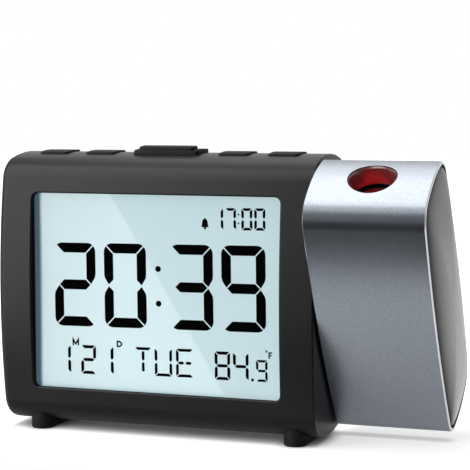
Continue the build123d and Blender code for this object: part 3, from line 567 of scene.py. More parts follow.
# ------------------------------------------------------------------------------ finishes
def shade(color: tuple, factor: float) -> tuple:
    """A colour made lighter or darker by a factor."""
    return tuple(min(1.0, channel * factor) for channel in color)


class Surface(Graph):
    """A new material round its Principled shader."""

    def __init__(self, name: str) -> None:
        """Starts the material.

        Args:
            name: its name.
        """
        self.material = bpy.data.materials.new(name)
        self.material.use_nodes = True
        super().__init__(self.material.node_tree)

    def feed(self, **values: Value) -> bpy.types.Material:
        """Joins or sets inputs of the shader.

        Args:
            values: each input's value by its name, with _ for a space.

        Returns:
            The material.
        """
        for key, value in values.items():
            self.put(value, self.tree.nodes["Principled BSDF"].inputs[key.replace("_", " ")])
        return self.material

    def grain(self, scale: float, cloud_scale: float) -> tuple:
        """Height and cloud of the moulded grain."""
        return tuple(self.node("Group", {"Scale": scale, "Cloud Scale": cloud_scale},
                               node_tree=Effects.fine_grain()).outputs)

    def cloud(self, scale: float) -> bpy.types.NodeSocket:
        """The grain's slow cloud alone."""
        return self.node("Group", {"Cloud Scale": scale}, node_tree=Effects.fine_grain()).outputs["Cloud"]

    def spread(self, noise: bpy.types.NodeSocket, low: float, high: float) -> bpy.types.NodeSocket:
        """Maps the span that a noise takes up to a range of values."""
        return self.remap(noise, *NOISE_SPAN, low, high)

    def tint(self, noise: bpy.types.NodeSocket, color: tuple, share: float) -> bpy.types.NodeSocket:
        """A colour made darker and lighter by a share along a noise."""
        return self.mix(self.spread(noise, 0.0, 1.0), shade(color, 1 - share), shade(color, 1 + share))

    def bump(self, height: bpy.types.NodeSocket, strength: float, distance_mm: float) -> bpy.types.NodeSocket:
        """Normal from a height."""
        values = {"Strength": strength, "Distance": distance_mm * MM, "Height": height}
        return self.node("Bump", values).outputs["Normal"]


@dataclass(frozen=True)
class Moulded:
    """Moulded plastic or rubber: a base colour with a slow cloud, fine grain and uneven gloss."""

    name: str
    color: tuple
    roughness: float
    spread: float
    grain: float
    grain_scale: float
    mottle: float
    specular: float = 0.5
    coat: float = 0.0
    glow: float = 0.0
    cloud_scale: float = 70.0
    grain_mm: float = 0.03
    coat_roughness: float = 0.15

    def material(self) -> bpy.types.Material:
        """Builds the material.

        Returns:
            The material.
        """
        surface = Surface(self.name)
        height, cloud = surface.grain(self.grain_scale, self.cloud_scale)
        return surface.feed(
            Base_Color=surface.tint(cloud, self.color, self.mottle),
            Roughness=surface.spread(cloud, self.roughness - self.spread, self.roughness + self.spread),
            Normal=surface.bump(height, self.grain, self.grain_mm), Specular_IOR_Level=self.specular,
            Coat_Weight=self.coat, Coat_Roughness=self.coat_roughness,
            Emission_Color=self.color, Emission_Strength=self.glow)


@dataclass(frozen=True)
class Brushed:
    """Brushed metal: brush lines square to X in colour, roughness and height."""

    name: str
    color: tuple
    roughness: float
    lines: float
    bump: float
    contrast: float
    run: float = 90.0
    line_mm: float = 0.02
    uneven: float = 0.15

    def material(self) -> bpy.types.Material:
        """Builds the material.

        Returns:
            The material.
        """
        surface = Surface(self.name)
        line, streak = surface.node("Group", {"Lines": self.lines, "Run": self.run},
                                    node_tree=Effects.brushing()).outputs
        low, high = self.roughness * (1 - self.uneven), self.roughness * (1 + self.uneven)
        return surface.feed(Base_Color=surface.tint(line, self.color, self.contrast), Metallic=1.0,
                            Roughness=surface.spread(streak, low, high),
                            Normal=surface.bump(line, self.bump, self.line_mm))


@dataclass(frozen=True)
class Blasted:
    """Bead-blasted, dyed metal: fine speckle in colour and height, and a slow change of gloss."""

    name: str = "blasted_sleeve"
    color: tuple = (0.207, 0.225, 0.254)
    roughness: float = 0.32
    uneven: float = 0.015
    speckle: float = 0.16
    grain: float = 0.12
    grain_mm: float = 0.02
    grain_scale: float = 2600.0
    cloud_scale: float = 60.0

    def material(self) -> bpy.types.Material:
        """Builds the material.

        Returns:
            The material.
        """
        surface = Surface(self.name)
        height, cloud = surface.grain(self.grain_scale, self.cloud_scale)
        return surface.feed(Base_Color=surface.tint(height, self.color, self.speckle), Metallic=1.0,
                            Roughness=surface.spread(cloud, self.roughness - self.uneven,
                                                     self.roughness + self.uneven),
                            Normal=surface.bump(height, self.grain, self.grain_mm))


@dataclass(frozen=True)
class ClearWindow:
    """Clear cover: a mirror whose opacity is its Fresnel reflection, so that the display shows through."""

    name: str = "clear_window"
    color: tuple = (0.95, 0.97, 1.0)
    ior: float = 1.08
    roughness: float = 0.05
    uneven: float = 0.2
    cloud_scale: float = 40.0

    def material(self) -> bpy.types.Material:
        """Builds the material; back faces take the inverse index, so that they don't reflect all.

        Returns:
            The material.
        """
        surface = Surface(self.name)
        index = surface.choose(surface.node("NewGeometry").outputs["Backfacing"], self.ior, 1 / self.ior)
        low, high = self.roughness * (1 - self.uneven), self.roughness * (1 + self.uneven)
        return surface.feed(Alpha=surface.node("Fresnel", {"IOR": index}).outputs["Fac"], Metallic=1.0,
                            Roughness=surface.spread(surface.cloud(self.cloud_scale), low, high),
                            Base_Color=self.color)


@dataclass(frozen=True)
class GlowingDisplay:
    """Display glass: a glowing field, with painted shade towards its left end and a painted shadow on its
    left edge.
    """

    name: str = "backlit_glass"
    color: tuple = (0.56, 0.73, 0.775)
    light: float = 0.42
    # The glow stands for a backlight, and is set high enough to paint the field evenly lit over the lamps'
    # shading.
    glow: float = 0.68
    # Painted shadow: a dark band along the field's left edge, where the window's left wall shades it.
    edge: tuple = (-61.9, -60.2)
    painted_wall_shadow: tuple = (0.07, 0.13, 0.17)
    # Painted shade: the field is darker towards its left end, where the front lamp lights it more.
    painted_shade_span: tuple = (-62.0, -26.0)
    painted_shade_share: float = 0.87
    cloud_share: float = 0.25
    cloud_scale: float = 25.0
    roughness: float = 0.5
    coat_roughness: float = 0.02

    def material(self) -> bpy.types.Material:
        """Builds the material.

        Returns:
            The material.
        """
        surface = Surface(self.name)
        cloud = surface.spread(surface.cloud(self.cloud_scale), 0.0, 1.0)
        x = surface.axis("X")
        # painted shade towards the left end of the field
        across = surface.remap(x, *(end * MM for end in self.painted_shade_span))
        bright = surface.math("MULTIPLY_ADD", cloud, self.cloud_share, across, use_clamp=True)
        pale = surface.mix(bright, shade(self.color, self.painted_shade_share), self.color)
        # painted shadow of the window's left wall along the field's left edge
        inward = surface.remap(x, *(end * MM for end in self.edge), kind="SMOOTHSTEP")
        field_color = surface.mix(inward, self.painted_wall_shadow, pale)
        return surface.feed(Base_Color=surface.mix(self.light, (0, 0, 0), field_color),
                            Emission_Color=field_color, Emission_Strength=self.glow,
                            Roughness=self.roughness, Coat_Weight=1.0, Coat_Roughness=self.coat_roughness)


@dataclass(frozen=True)
class ClearLens:
    """Clear moulded lens."""

    name: str = "clear_lens"
    color: tuple = (0.95, 0.95, 0.97)
    ior: float = 1.49
    roughness: float = 0.02
    cloud_scale: float = 80.0

    def material(self) -> bpy.types.Material:
        """Builds the material.

        Returns:
            The material.
        """
        surface = Surface(self.name)
        gloss = surface.spread(surface.cloud(self.cloud_scale), self.roughness, 2 * self.roughness)
        return surface.feed(Base_Color=self.color, IOR=self.ior, Transmission_Weight=1.0, Roughness=gloss)


class Finishes:
    """Every finish of the clock by name, built when it is first used."""

    styles = {
        "shell": Moulded("shell_plastic", (0.0055, 0.0057, 0.0065), 0.34, 0.02, 0.06, 7000.0, 0.05, 0.1),
        "key": Moulded("key_plastic", (0.005, 0.005, 0.0055), 0.6, 0.03, 0.05, 9000.0, 0.06, 0.07),
        "rubber": Moulded("foot_rubber", (0.006, 0.006, 0.0065), 0.6, 0.05, 0.3, 5000.0, 0.15, 0.08),
        "cap": Moulded("cap_plastic", (0.02, 0.02, 0.023), 0.26, 0.02, 0.06, 9000.0, 0.03, 0.3),
        "black": Moulded("black_plastic", (0.008, 0.008, 0.009), 0.35, 0.05, 0.08, 9000.0, 0.1),
        "ink": Moulded("display_ink", (0.001, 0.001, 0.0012), 0.5, 0.03, 0.0, 9000.0, 0.05, 0.02),
        "white": Moulded("white_plastic", (0.75, 0.75, 0.73), 0.5, 0.05, 0.08, 9000.0, 0.03),
        "board": Moulded("circuit_board", (0.015, 0.10, 0.035), 0.35, 0.08, 0.15, 4000.0, 0.25),
        "guide": Moulded("light_guide", (0.75, 0.82, 0.86), 0.3, 0.03, 0.05, 6000.0, 0.03),
        # The lining's dark red tint is painted red light from the lit lens; the lining itself is black
        # plastic.
        "ring": Moulded("ring_enamel", (0.17, 0.04, 0.042), 0.22, 0.03, 0.03, 8000.0, 0.05, 0.8),
        "lit_lens": Moulded("lit_lens", (0.25, 0.003, 0.004), 0.08, 0.02, 0.0, 8000.0, 0.05,
                            coat=1.0, glow=10.0),
        "led": Moulded("led_dome", (0.65, 0.06, 0.05), 0.15, 0.03, 0.02, 8000.0, 0.05),
        "steel": Brushed("zinc_steel", (0.50, 0.50, 0.50), 0.3, 5000.0, 0.1, 0.12),
        "spring": Brushed("spring_steel", (0.62, 0.62, 0.60), 0.25, 5000.0, 0.06, 0.1),
        "rim": Brushed("polished_rim", (0.5, 0.51, 0.54), 0.16, 4000.0, 0.03, 0.03),
        "sleeve": Blasted(),
        "window": ClearWindow(),
        "display": GlowingDisplay(),
        "lens": ClearLens(),
    }

    @classmethod
    @functools.cache
    def get(cls, name: str) -> bpy.types.Material:
        """The named finish as a material."""
        return cls.styles[name].material()


def dress(piece: bpy.types.Object, finish: str) -> None:
    """Gives a piece or a node one finish in all its slots.

    Args:
        piece: the piece or node.
        finish: the finish's name.
    """
    material = Finishes.get(finish)
    if not piece.material_slots:
        piece.data.materials.append(material)
    for slot in piece.material_slots:
        slot.material = material


def paint(piece: bpy.types.Object, finish: str, chosen: np.ndarray) -> None:
    """Gives the chosen faces of a dressed piece a second finish."""
    piece.data.materials.append(Finishes.get(finish))
    piece.data.polygons.foreach_set("material_index", chosen.astype(np.int32))


def settle(piece: bpy.types.Object, body: str, slot: str, finish: str, *nodes: str) -> None:
    """Dresses a new piece, rides it on a body and hides the nodes that it stands for.

    Args:
        piece: the new piece.
        body: the body that carries it.
        slot: the record's material slot; not used.
        finish: the finish's name.
        nodes: the nodes that it replaces.
    """
    dress(piece, finish)
    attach(piece, body)
    if nodes:
        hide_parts(*nodes)
    log.info("%s: %d faces on %s", piece.name, len(piece.data.polygons), body)


# ------------------------------------------------------------------------------ keys and feet
@dataclass(frozen=True)
class TopKeys:
    """Four keys and the snooze key with its raised bar."""

    offsets: tuple = (-40.2, -23.4, 23.4, 40.2)
    width: float = 10.2
    depth: float = 11.0
    corner: float = 1.2
    least_corner: float = 0.05
    edge: float = 0.4
    rise: float = 0.6
    snooze_width: float = 22.8
    snooze_rise: float = 1.3
    bar_width: float = 19.3
    bar_depth: float = 5.0
    bar_y: float = -4.5
    bar_rise: float = 2.395
    bar_edge: float = 0.5
    foot: float = 88.5
    foot_inset: float = 3.3
    flange: float = 0.8
    flange_top: float = 89.4
    edge_steps: int = 6
    side_spans: int = 5
    top_shares: tuple = (0.2, 0.45, 0.7, 0.9)

    def key(self, x: float, y: float, width: float, depth: float, rise: float, edge: float,
            low: float, flange: float) -> Grid:
        """Key as loops of a rounded rectangle, from its foot up its sides and in over its edge.

        The top follows an arc about the pivot: height(y) = pivot + sqrt((reach + rise)^2 - y^2).
        Over the edge, the loop draws in by edge * (1 - cos t) and drops by edge * (1 - sin t).

        Args:
            x: centre across.
            y: centre in depth.
            width: full width.
            depth: full depth.
            rise: top above the shell's top.
            edge: edge radius.
            low: height of the foot.
            flange: reach of the flange under the shell, or 0 for none.

        Returns:
            The key's grid.
        """
        path = [(-self.foot_inset, None, low), (flange, None, low)]
        if flange:
            path += [(flange, None, self.flange_top), (0.0, None, self.flange_top)]
        path += [(-edge * (1 - math.cos(turn)), edge * (1 - math.sin(turn)), None)
                 for turn in np.linspace(0, QUARTER, self.edge_steps)]
        path += [(-min(width, depth) / 2 * share, 0.0, None) for share in self.top_shares]
        rows = []
        for out, drop, height in path:
            corner = max(self.corner + out, self.least_corner)
            ring = rounded_rectangle(width + 2 * out, depth + 2 * out, corner,
                                     side=self.side_spans, middle=(x, y))
            top = LAYOUT.pivot_height + np.sqrt((BODY_PROFILE.reach + rise) ** 2 - ring[:, 1] ** 2)
            rows.append(LAYOUT.from_above(ring, top - drop if height is None else height))
        return Grid(rows)

    def cutters(self, gap: float, low: float, high: float) -> list[bpy.types.Object]:
        """Openings for the keys through the top wall.

        Args:
            gap: the gap round a key.
            low: height where an opening starts.
            high: height where it stops.

        Returns:
            The cutters.
        """
        sizes = [*((offset, self.width) for offset in self.offsets), (0.0, self.snooze_width)]
        return [cutter(rounded_rectangle(width + 2 * gap, self.depth + 2 * gap, self.corner + gap,
                                         middle=(LAYOUT.window_x + offset, LAYOUT.key_y)),
                       LAYOUT.from_above, low, high) for offset, width in sizes]

    def build(self) -> None:
        """Builds the keys on their own bodies."""
        for number, offset in enumerate(self.offsets, start=1):
            grid = self.key(LAYOUT.window_x + offset, LAYOUT.key_y, self.width, self.depth, self.rise,
                            self.edge, self.foot, self.flange)
            node = f"top_key_{number}"
            settle(mesh_object(f"key_cap_{number}", grid), f"{node}_body", "key_plastic", "key", node)
        base = self.key(LAYOUT.window_x, LAYOUT.key_y, self.snooze_width, self.depth, self.snooze_rise,
                        self.edge, self.foot, self.flange)
        bar = self.key(LAYOUT.window_x, self.bar_y, self.bar_width, self.bar_depth, self.bar_rise,
                       self.bar_edge, self.flange_top, 0.0)
        settle(mesh_object("snooze_cap", base, bar), "snooze_body", "key_plastic", "key", "snooze_key")


@dataclass(frozen=True)
class RubberFeet:
    """Two long round-ended feet that follow the shell's underside."""

    centres: tuple = (("foot_left", -62.5), ("foot_right", 26.5))
    length: float = 32.0
    width: float = 7.7
    edge: float = 0.7
    seat: float = 0.1
    insets: tuple = (-3.6, -2.4, -1.2)
    end_steps: int = 17
    side_steps: int = 14
    edge_steps: int = 7

    def stadium(self, out: float) -> np.ndarray:
        """Points round the foot's slot shape: two half circles and two sides.

        Args:
            out: distance by which it is drawn out, or in where negative.

        Returns:
            An array of (x, y) pairs.
        """
        radius, half = self.width / 2 + out, (self.length - self.width) / 2
        turn = np.linspace(0, math.pi, self.end_steps)
        front, back = arc(0.0, -half, -radius, turn), arc(0.0, half, radius, turn)
        share = np.linspace(0, 1, self.side_steps)[1:-1, None]
        return np.vstack([front, front[-1] * (1 - share) + back[0] * share,
                          back, back[-1] * (1 - share) + front[0] * share])

    def foot(self, x: float) -> Grid:
        """Foot as loops of the slot shape: out over the bottom edge, up the side, in over the top.

        Args:
            x: its centre across.

        Returns:
            The foot's grid.
        """
        loops = [(self.stadium(out), 0.0) for out in self.insets[:2]]
        loops += [(self.stadium(-self.edge * (1 - math.sin(turn))), self.edge * (1 - math.cos(turn)))
                  for turn in np.linspace(0, QUARTER, self.edge_steps)]
        for ring in (self.stadium(out) for out in (0.0, *self.insets[::-1])):
            loops.append((ring, LAYOUT.pivot_height - BODY_PROFILE.under(ring[:, 1]) - self.seat))
        return Grid([LAYOUT.from_above(ring + (x, 0.0), height) for ring, height in loops])

    def build(self) -> None:
        """Builds both feet."""
        for node, x in self.centres:
            pad = mesh_object(f"{node}_pad", self.foot(x), sharp_deg=40.0)
            settle(pad, "clock_body", "rubber", "rubber", node)


# ------------------------------------------------------------------------------ clock body
@dataclass(frozen=True)
class HousingShells:
    """Front and rear shell of the clock body, with all their openings."""

    keys: TopKeys
    wall: float = 2.0
    left_wall: float = 3.5
    left_bow: float = 1400.0
    left_round: float = 2.6
    right_round: float = 0.6
    end_shares: tuple = (0.35, 0.7, 0.9)
    left_steps: int = 13
    spans: int = 13
    right_steps: int = 5
    hub_hole: float = 5.56
    hub_span: tuple = (25.0, 40.0)
    key_gap: float = 0.35
    key_span: tuple = (84.0, 99.0)
    rim_round: float = 0.5
    window_span: tuple = (-30.0, -10.0)
    lip_steps: int = 6
    liner_flange: float = 1.4
    liner_depth: float = 1.6
    slab: tuple = (400.0, 300.0, 1.0)
    past_front: float = -60.0
    past_back: float = 60.0
    rear_span: tuple = (0.0, 30.0)
    bay: tuple = (-38.0, 39.1, 49.0, 23.0)
    bay_corner: float = 0.3
    bay_front: float = 5.9
    bay_wall: float = 1.5
    bay_clearance: float = 0.45
    bay_eye: float = 0.5
    lid_lap: float = 1.8
    lid_corner: float = 0.8
    recess_depth: float = 1.6
    screw_places: tuple = ((-68.5, 15.1), (-68.5, 79.1), (29.0, 15.1), (29.0, 79.1))
    well_radius: float = 2.6
    well_wall: float = 1.0
    well_floor: float = 11.8
    well_setback: float = 1.2
    screw_hole: float = 1.25
    socket: tuple = (17.0, 19.1, 9.4, 10.4, 0.2)
    sound_centre: tuple = (8.0, 64.1)
    sound_ring: float = 3.2
    sound_hole: float = 0.8
    sound_count: int = 6
    vent_place: tuple = (-51.1, 69.1)
    vent_size: tuple = (1.2, 8.0, 0.59)
    vent_pitch: float = 2.8
    vent_count: int = 5

    def left_face(self, up: np.ndarray) -> np.ndarray:
        """x of the bowed left end at a height from the pivot: an arc of radius left_bow."""
        return LAYOUT.body_left + self.left_bow - np.sqrt(self.left_bow ** 2 - up ** 2)

    def skin(self, points: np.ndarray) -> np.ndarray:
        """Signed distance to the outer skin.

        The profile's distance p and an end's distance e meet in a fillet of radius r: where both
        exceed -r it is hypot(p + r, e + r) - r, and elsewhere the larger of the two.

        Args:
            points: the points.

        Returns:
            The distances, negative inside.
        """
        x, up = points[:, 0], points[:, 2] - LAYOUT.pivot_height
        value = profile = BODY_PROFILE.distance(points[:, 1], up)
        ends = ((self.left_face(up) - x, self.left_round), (x - LAYOUT.body_right, self.right_round))
        for end, radius in ends:
            corner = (profile > -radius) & (end > -radius)
            fillet = np.hypot(profile + radius, end + radius) - radius
            value = np.maximum(value, np.where(corner, fillet, end))
        return value

    def outer(self) -> Grid:
        """Outer form: the profile carried along X, drawn in round both ends by quarter circles.

        Returns:
            The form's grid.
        """
        left, right, last = self.left_round, self.right_round, LAYOUT.body_right - self.right_round
        path = [(BODY_PROFILE.loop(left) * share, 0.0) for share in self.end_shares]
        path += [(BODY_PROFILE.loop(left * (1 - math.sin(turn))), left * (1 - math.cos(turn)))
                 for turn in np.linspace(0, QUARTER, self.left_steps)]
        rows = [LAYOUT.along_x(loop, self.left_face(loop[:, 1]) + inward) for loop, inward in path]
        first = rows[-1][:, 0]
        rows += [LAYOUT.along_x(BODY_PROFILE.loop(), first + share * (last - first))
                 for share in np.linspace(0, 1, self.spans + 1)[1:]]
        rows += [LAYOUT.along_x(BODY_PROFILE.loop(right * (1 - math.cos(turn))),
                                last + right * math.sin(turn))
                 for turn in np.linspace(0, QUARTER, self.right_steps)[1:]]
        return Grid(rows)

    def hollow(self) -> bpy.types.Object:
        """Space inside the walls, as a cutter."""
        ends = (LAYOUT.body_left + self.left_wall, LAYOUT.body_right - self.wall)
        return cutter(BODY_PROFILE.loop(self.wall), LAYOUT.along_x, *ends)

    def half_space(self, start: float, stop: float) -> bpy.types.Object:
        """Slab between two depths that is larger than the body, as a cutter."""
        return cutter(rounded_rectangle(*self.slab, steps=2), LAYOUT.in_front_view, start, stop)

    def block(self, x: float, z: float, width: float, height: float, corner: float,
              span: tuple[float, float]) -> bpy.types.Object:
        """Rounded block between two depths, as a cutter."""
        return cutter(rounded_rectangle(width, height, corner, middle=(x, z)), LAYOUT.in_front_view, *span)

    def build_front(self) -> None:
        """Front shell with the window, the key openings and the hub's hole."""
        shell = mesh_object("front_shell", self.outer())
        window = self.block(*LAYOUT.window_centre, LAYOUT.window_width + 2 * self.rim_round,
                            LAYOUT.window_height + 2 * self.rim_round, LAYOUT.window_corner + self.rim_round,
                            self.window_span)
        hub = cutter(disc(0.0, 0.0, self.hub_hole, steps=48), LAYOUT.along_x, *self.hub_span)
        carve(shell, [self.hollow(), self.half_space(LAYOUT.seam_y, self.past_back), window, hub,
                      *self.keys.cutters(self.key_gap, *self.key_span)])
        skin_normals(shell, [self.skin])
        settle(shell, "clock_body", "body_plastic", "shell", "front_housing")

    def build_liner(self) -> None:
        """Window surround: a ring round the opening with a rounded lip on the bowed face.

        Its section runs out on the face, over a quarter circle, down the wall to the lens and back
        behind it. The wall is dark.
        """
        rim = self.rim_round
        rows = [self.liner_row(rim * (1 - math.cos(turn)), rim * (1 - math.sin(turn)))
                for turn in np.linspace(QUARTER, 0, self.lip_steps)]
        rows += [self.liner_row(0.0), self.liner_row(self.liner_flange),
                 self.liner_row(self.liner_flange, self.liner_depth), self.liner_row(rim, self.liner_depth)]
        liner = mesh_object("window_surround", Grid(rows, ring=True), sharp_deg=50.0)
        settle(liner, "clock_body", "body_plastic", "shell")
        _, y, z = read(liner.data.polygons, "center", 3).T / MM
        paint(liner, "ink", y > LAYOUT.face(z - LAYOUT.pivot_height) + rim)

    def liner_row(self, out: float, depth: float | None = None) -> np.ndarray:
        """One loop of the surround.

        Args:
            out: distance out from the opening's edge.
            depth: distance behind the bowed face, or none for a loop at the lens.

        Returns:
            The loop's points.
        """
        ring = rounded_rectangle(LAYOUT.window_width + 2 * out, LAYOUT.window_height + 2 * out,
                                 LAYOUT.window_corner + out, steps=8, side=8)
        y = LAYOUT.lens_front if depth is None else LAYOUT.face(ring[:, 1]) + depth
        return LAYOUT.in_front_view(ring + LAYOUT.window_centre, y)

    def build_rear(self) -> None:
        """Rear shell with the battery bay, screw wells, socket opening, sound holes and vents."""
        shell = mesh_object("rear_shell", self.outer())
        carve(shell, [self.hollow(), self.half_space(self.past_front, LAYOUT.seam_y + LAYOUT.seam_gap)])
        span = self.rear_span
        x, z = self.sound_centre
        sound = [(x, z), *disc(x, z, self.sound_ring, self.sound_count)]
        left = self.vent_place[0] - self.vent_pitch * (self.vent_count - 1) / 2
        vents = [left + self.vent_pitch * index for index in range(self.vent_count)]
        carve(shell, [
            self.block(*self.bay, self.bay_corner, span), self.lid_recess(), self.block(*self.socket, span),
            *[cutter(disc(*place, radius, steps=32), LAYOUT.in_front_view, *span)
              for places, radius in ((self.screw_places, self.well_radius), (sound, self.sound_hole))
              for place in places],
            *[self.block(vent, self.vent_place[1], *self.vent_size, span) for vent in vents],
        ])
        skin_normals(shell, [self.skin])
        settle(shell, "clock_body", "body_plastic", "shell", "rear_housing")
        inner = mesh_object("rear_fittings", *[self.well(*place) for place in self.screw_places],
                            self.bay_tray(), sharp_deg=30.0)
        settle(inner, "clock_body", "body_plastic", "shell")

    def lid_recess(self) -> bpy.types.Object:
        """Cutter for the lid's seat: a block whose inner face follows the bowed back.

        Returns:
            The cutter.
        """
        x, z, width, height = self.bay
        ring = rounded_rectangle(width + 2 * self.lid_lap, height + 2 * self.lid_lap, self.lid_corner,
                                 side=6, middle=(x, z))
        bow, up = BODY_PROFILE.bow, ring[:, 1] - LAYOUT.pivot_height
        floor = LAYOUT.back_y - bow + np.sqrt((bow - self.recess_depth) ** 2 - up ** 2)
        return cutter(ring, LAYOUT.in_front_view, floor, self.rear_span[1])

    def well(self, x: float, z: float) -> Grid:
        """Screw well: a tube to the back whose floor leaves a hole for the screw.

        Args:
            x: its centre across.
            z: its centre's height.

        Returns:
            The well's grid.
        """
        inner, hole, floor = self.well_radius, self.screw_hole, self.well_floor
        outer, under, stop = inner + self.well_wall, floor - self.well_wall, LAYOUT.back_y - self.well_setback
        path = ((outer, stop), (outer, under), (hole, under), (hole, floor), (inner, floor), (inner, stop))
        return Grid([LAYOUT.in_front_view(disc(x, z, radius, steps=32), y) for radius, y in path], ring=True)

    def bay_tray(self) -> Grid:
        """Battery bay: an open box with walls and a floor of even thickness, its mouth to the back.

        Its loops run from the floor's outer middle, out, up the wall, down inside and back to the middle.

        Returns:
            The bay's grid.
        """
        x, z, width, height = self.bay
        wall, floor, eye = self.bay_wall, self.bay_front, self.bay_eye - height / 2
        under, stop = floor - wall, LAYOUT.back_y - self.recess_depth - self.bay_clearance
        rows = []
        for out, y in ((eye, under), (wall, under), (wall, stop), (0.0, stop), (0.0, floor), (eye, floor)):
            ring = rounded_rectangle(width + 2 * out, height + 2 * out, max(out, 0) + self.bay_corner,
                                     middle=(x, z))
            rows.append(LAYOUT.in_front_view(ring, y))
        return Grid(rows)

    def build(self) -> None:
        """Builds both shells and the window surround."""
        self.build_front()
        self.build_liner()
        self.build_rear()


# ------------------------------------------------------------------------------ projector arm
@dataclass(frozen=True)
class ProjectorArm:
    """Metal sleeve, crowned end cap, and the lining and lens of the light outlet."""

    counts: tuple = (28, 16, 28)
    outer_steps: int = 7
    inner_steps: int = 5
    crown_steps: int = 26
    turn_steps: int = 72
    lens_steps: int = 12
    wall: float = 1.0
    rim: float = 0.3
    slanted: float = 0.3
    cap_gap: float = 0.1
    cap_recess: float = 1.2
    cap_flange: float = 2.0
    crown_inset: float = 0.9
    crown_start: float = 0.4
    crown_height: float = 2.4
    outlet_radius: float = 7.7
    outlet_span: tuple = (30.0, 60.0)
    slot_size: tuple = (10.0, 8.0, 0.6)
    slot_back: float = 18.0
    slot_span: tuple = (15.5, 19.9)
    ring_gap: float = 0.1
    ring_wall: float = 0.8
    ring_depth: float = 6.8
    ring_set: float = 0.2
    ring_flange: float = 1.7
    flange_span: tuple = (3.2, 2.3)
    ring_edge: float = 0.15
    near_skin: float = 1.0
    ring_slant: float = 1.1
    lens_radius: float = 5.15
    lens_base: float = 34.2
    lens_rim: float = 1.6
    lens_dome: float = 1.9

    def skin(self, points: np.ndarray) -> np.ndarray:
        """Signed distance to the sleeve's outer skin, its ends apart."""
        return ARM_PROFILE.distance(*LAYOUT.to_arm(points).T)

    def inside(self, points: np.ndarray) -> np.ndarray:
        """Signed distance to the sleeve's inner skin."""
        return self.skin(points) + self.wall

    def section(self, x: float, inset: float, share: float = 1.0) -> np.ndarray:
        """Loop of the arm's profile at x, drawn in by a distance and shrunk to a share."""
        return LAYOUT.along_arm(ARM_PROFILE.loop(inset, self.counts) * share, x)

    def build_sleeve(self) -> None:
        """Sleeve with the light outlet, the focus wheel's slot and bright rims.

        Its loops run out over one rim, along, over the other and back inside.
        """
        left, right, rim = LAYOUT.arm_left, LAYOUT.arm_right, self.rim
        stations = [(left, rim), *((x, 0.0) for x in np.linspace(left + rim, right - rim, self.outer_steps)),
                    (right, rim), *((x, self.wall) for x in np.linspace(right, left, self.inner_steps))]
        piece = mesh_object("sleeve_skin", Grid([self.section(*station) for station in stations], ring=True),
                            sharp_deg=20.0)
        slot = rounded_rectangle(*self.slot_size, middle=(0.0, self.slot_back))
        outlet = disc(0.0, 0.0, self.outlet_radius, steps=96)
        carve(piece, [cutter(outlet, LAYOUT.along_optics, *self.outlet_span),
                      cutter(slot, LAYOUT.along_optics, *self.slot_span)])
        skin_normals(piece, [self.skin, self.inside])
        settle(piece, "arm", "arm_metal", "sleeve", "arm_sleeve")
        x = read(piece.data.polygons, "center", 3)[:, 0] / MM
        turned = np.abs(read(piece.data.polygons, "normal", 3)[:, 0]) > self.slanted
        paint(piece, "rim", turned & ((x < left + rim) | (x > right - rim)))

    def build_cap(self) -> None:
        """End cap: a flange inside the sleeve, a neck, and a crown.

        The crown's loops shrink as cos t and rise as sin t, which is an elliptic dome over the outline.
        """
        recess, crown = LAYOUT.arm_right - self.cap_recess, LAYOUT.arm_right - self.crown_start
        flange, neck = self.wall + self.cap_gap, self.wall + self.crown_inset
        rise = self.crown_height + self.crown_start
        first = recess - self.cap_flange
        sections = [(first, flange, 0.5), (first, flange), (recess, flange), (recess, neck), (crown, neck)]
        sections += [(crown + rise * math.sin(turn), neck, math.cos(turn))
                     for turn in np.linspace(0, QUARTER, self.crown_steps)[1:-1]]
        rows = [self.section(*section) for section in sections]
        cap = mesh_object("crowned_cap", Grid(rows), sharp_deg=40.0)
        settle(cap, "arm", "cap_plastic", "cap", "arm_end_cap")

    def turned(self, path: list[tuple[float, float]], ring: bool) -> Grid:
        """Surface turned about the optical axis.

        Args:
            path: (radius, height) pairs, where a height near the sleeve's skin follows its curve.
            ring: whether the path closes on itself.

        Returns:
            The surface's grid.
        """
        reach, rows = ARM_PROFILE.reach, []
        for radius, height in path:
            section = disc(0.0, 0.0, radius, self.turn_steps)
            if height > reach - self.near_skin:
                height = np.sqrt((reach - self.ring_set) ** 2 - section[:, 1] ** 2) - (reach - height)
            rows.append(LAYOUT.along_optics(section, height))
        return Grid(rows, ring=ring)

    def build_outlet(self) -> None:
        """Lining of the light outlet and the projection lens."""
        outer, reach = self.outlet_radius - self.ring_gap, ARM_PROFILE.reach
        inner, low = outer - self.ring_wall, reach - self.ring_depth
        flange, (under, over) = outer + self.ring_flange, self.flange_span
        path = [(outer, low), (flange, reach - under), (flange, reach - over), (outer, reach - over),
                (outer, reach - self.ring_edge), (outer - self.ring_edge, reach),
                (inner, reach - self.ring_slant), (inner, low)]
        ring = mesh_object("outlet_lining", self.turned(path, True), sharp_deg=50.0)
        settle(ring, "arm", "black_plastic", "ring", "aperture_ring")
        sphere = (self.lens_radius ** 2 + self.lens_dome ** 2) / (2 * self.lens_dome)
        top, span = self.lens_base + self.lens_rim + self.lens_dome, math.asin(self.lens_radius / sphere)
        path = [(self.lens_radius, self.lens_base)]
        path += [(sphere * math.sin(turn), top - sphere * (1 - math.cos(turn)))
                 for turn in np.linspace(span, span / self.lens_steps, self.lens_steps)]
        lens = mesh_object("front_lens", self.turned(path, False), sharp_deg=30.0)
        settle(lens, "focusing_barrel", "lens_plastic", "lit_lens", "projection_lens")

    def build(self) -> None:
        """Builds the arm's visible pieces."""
        self.build_sleeve()
        self.build_cap()
        self.build_outlet()


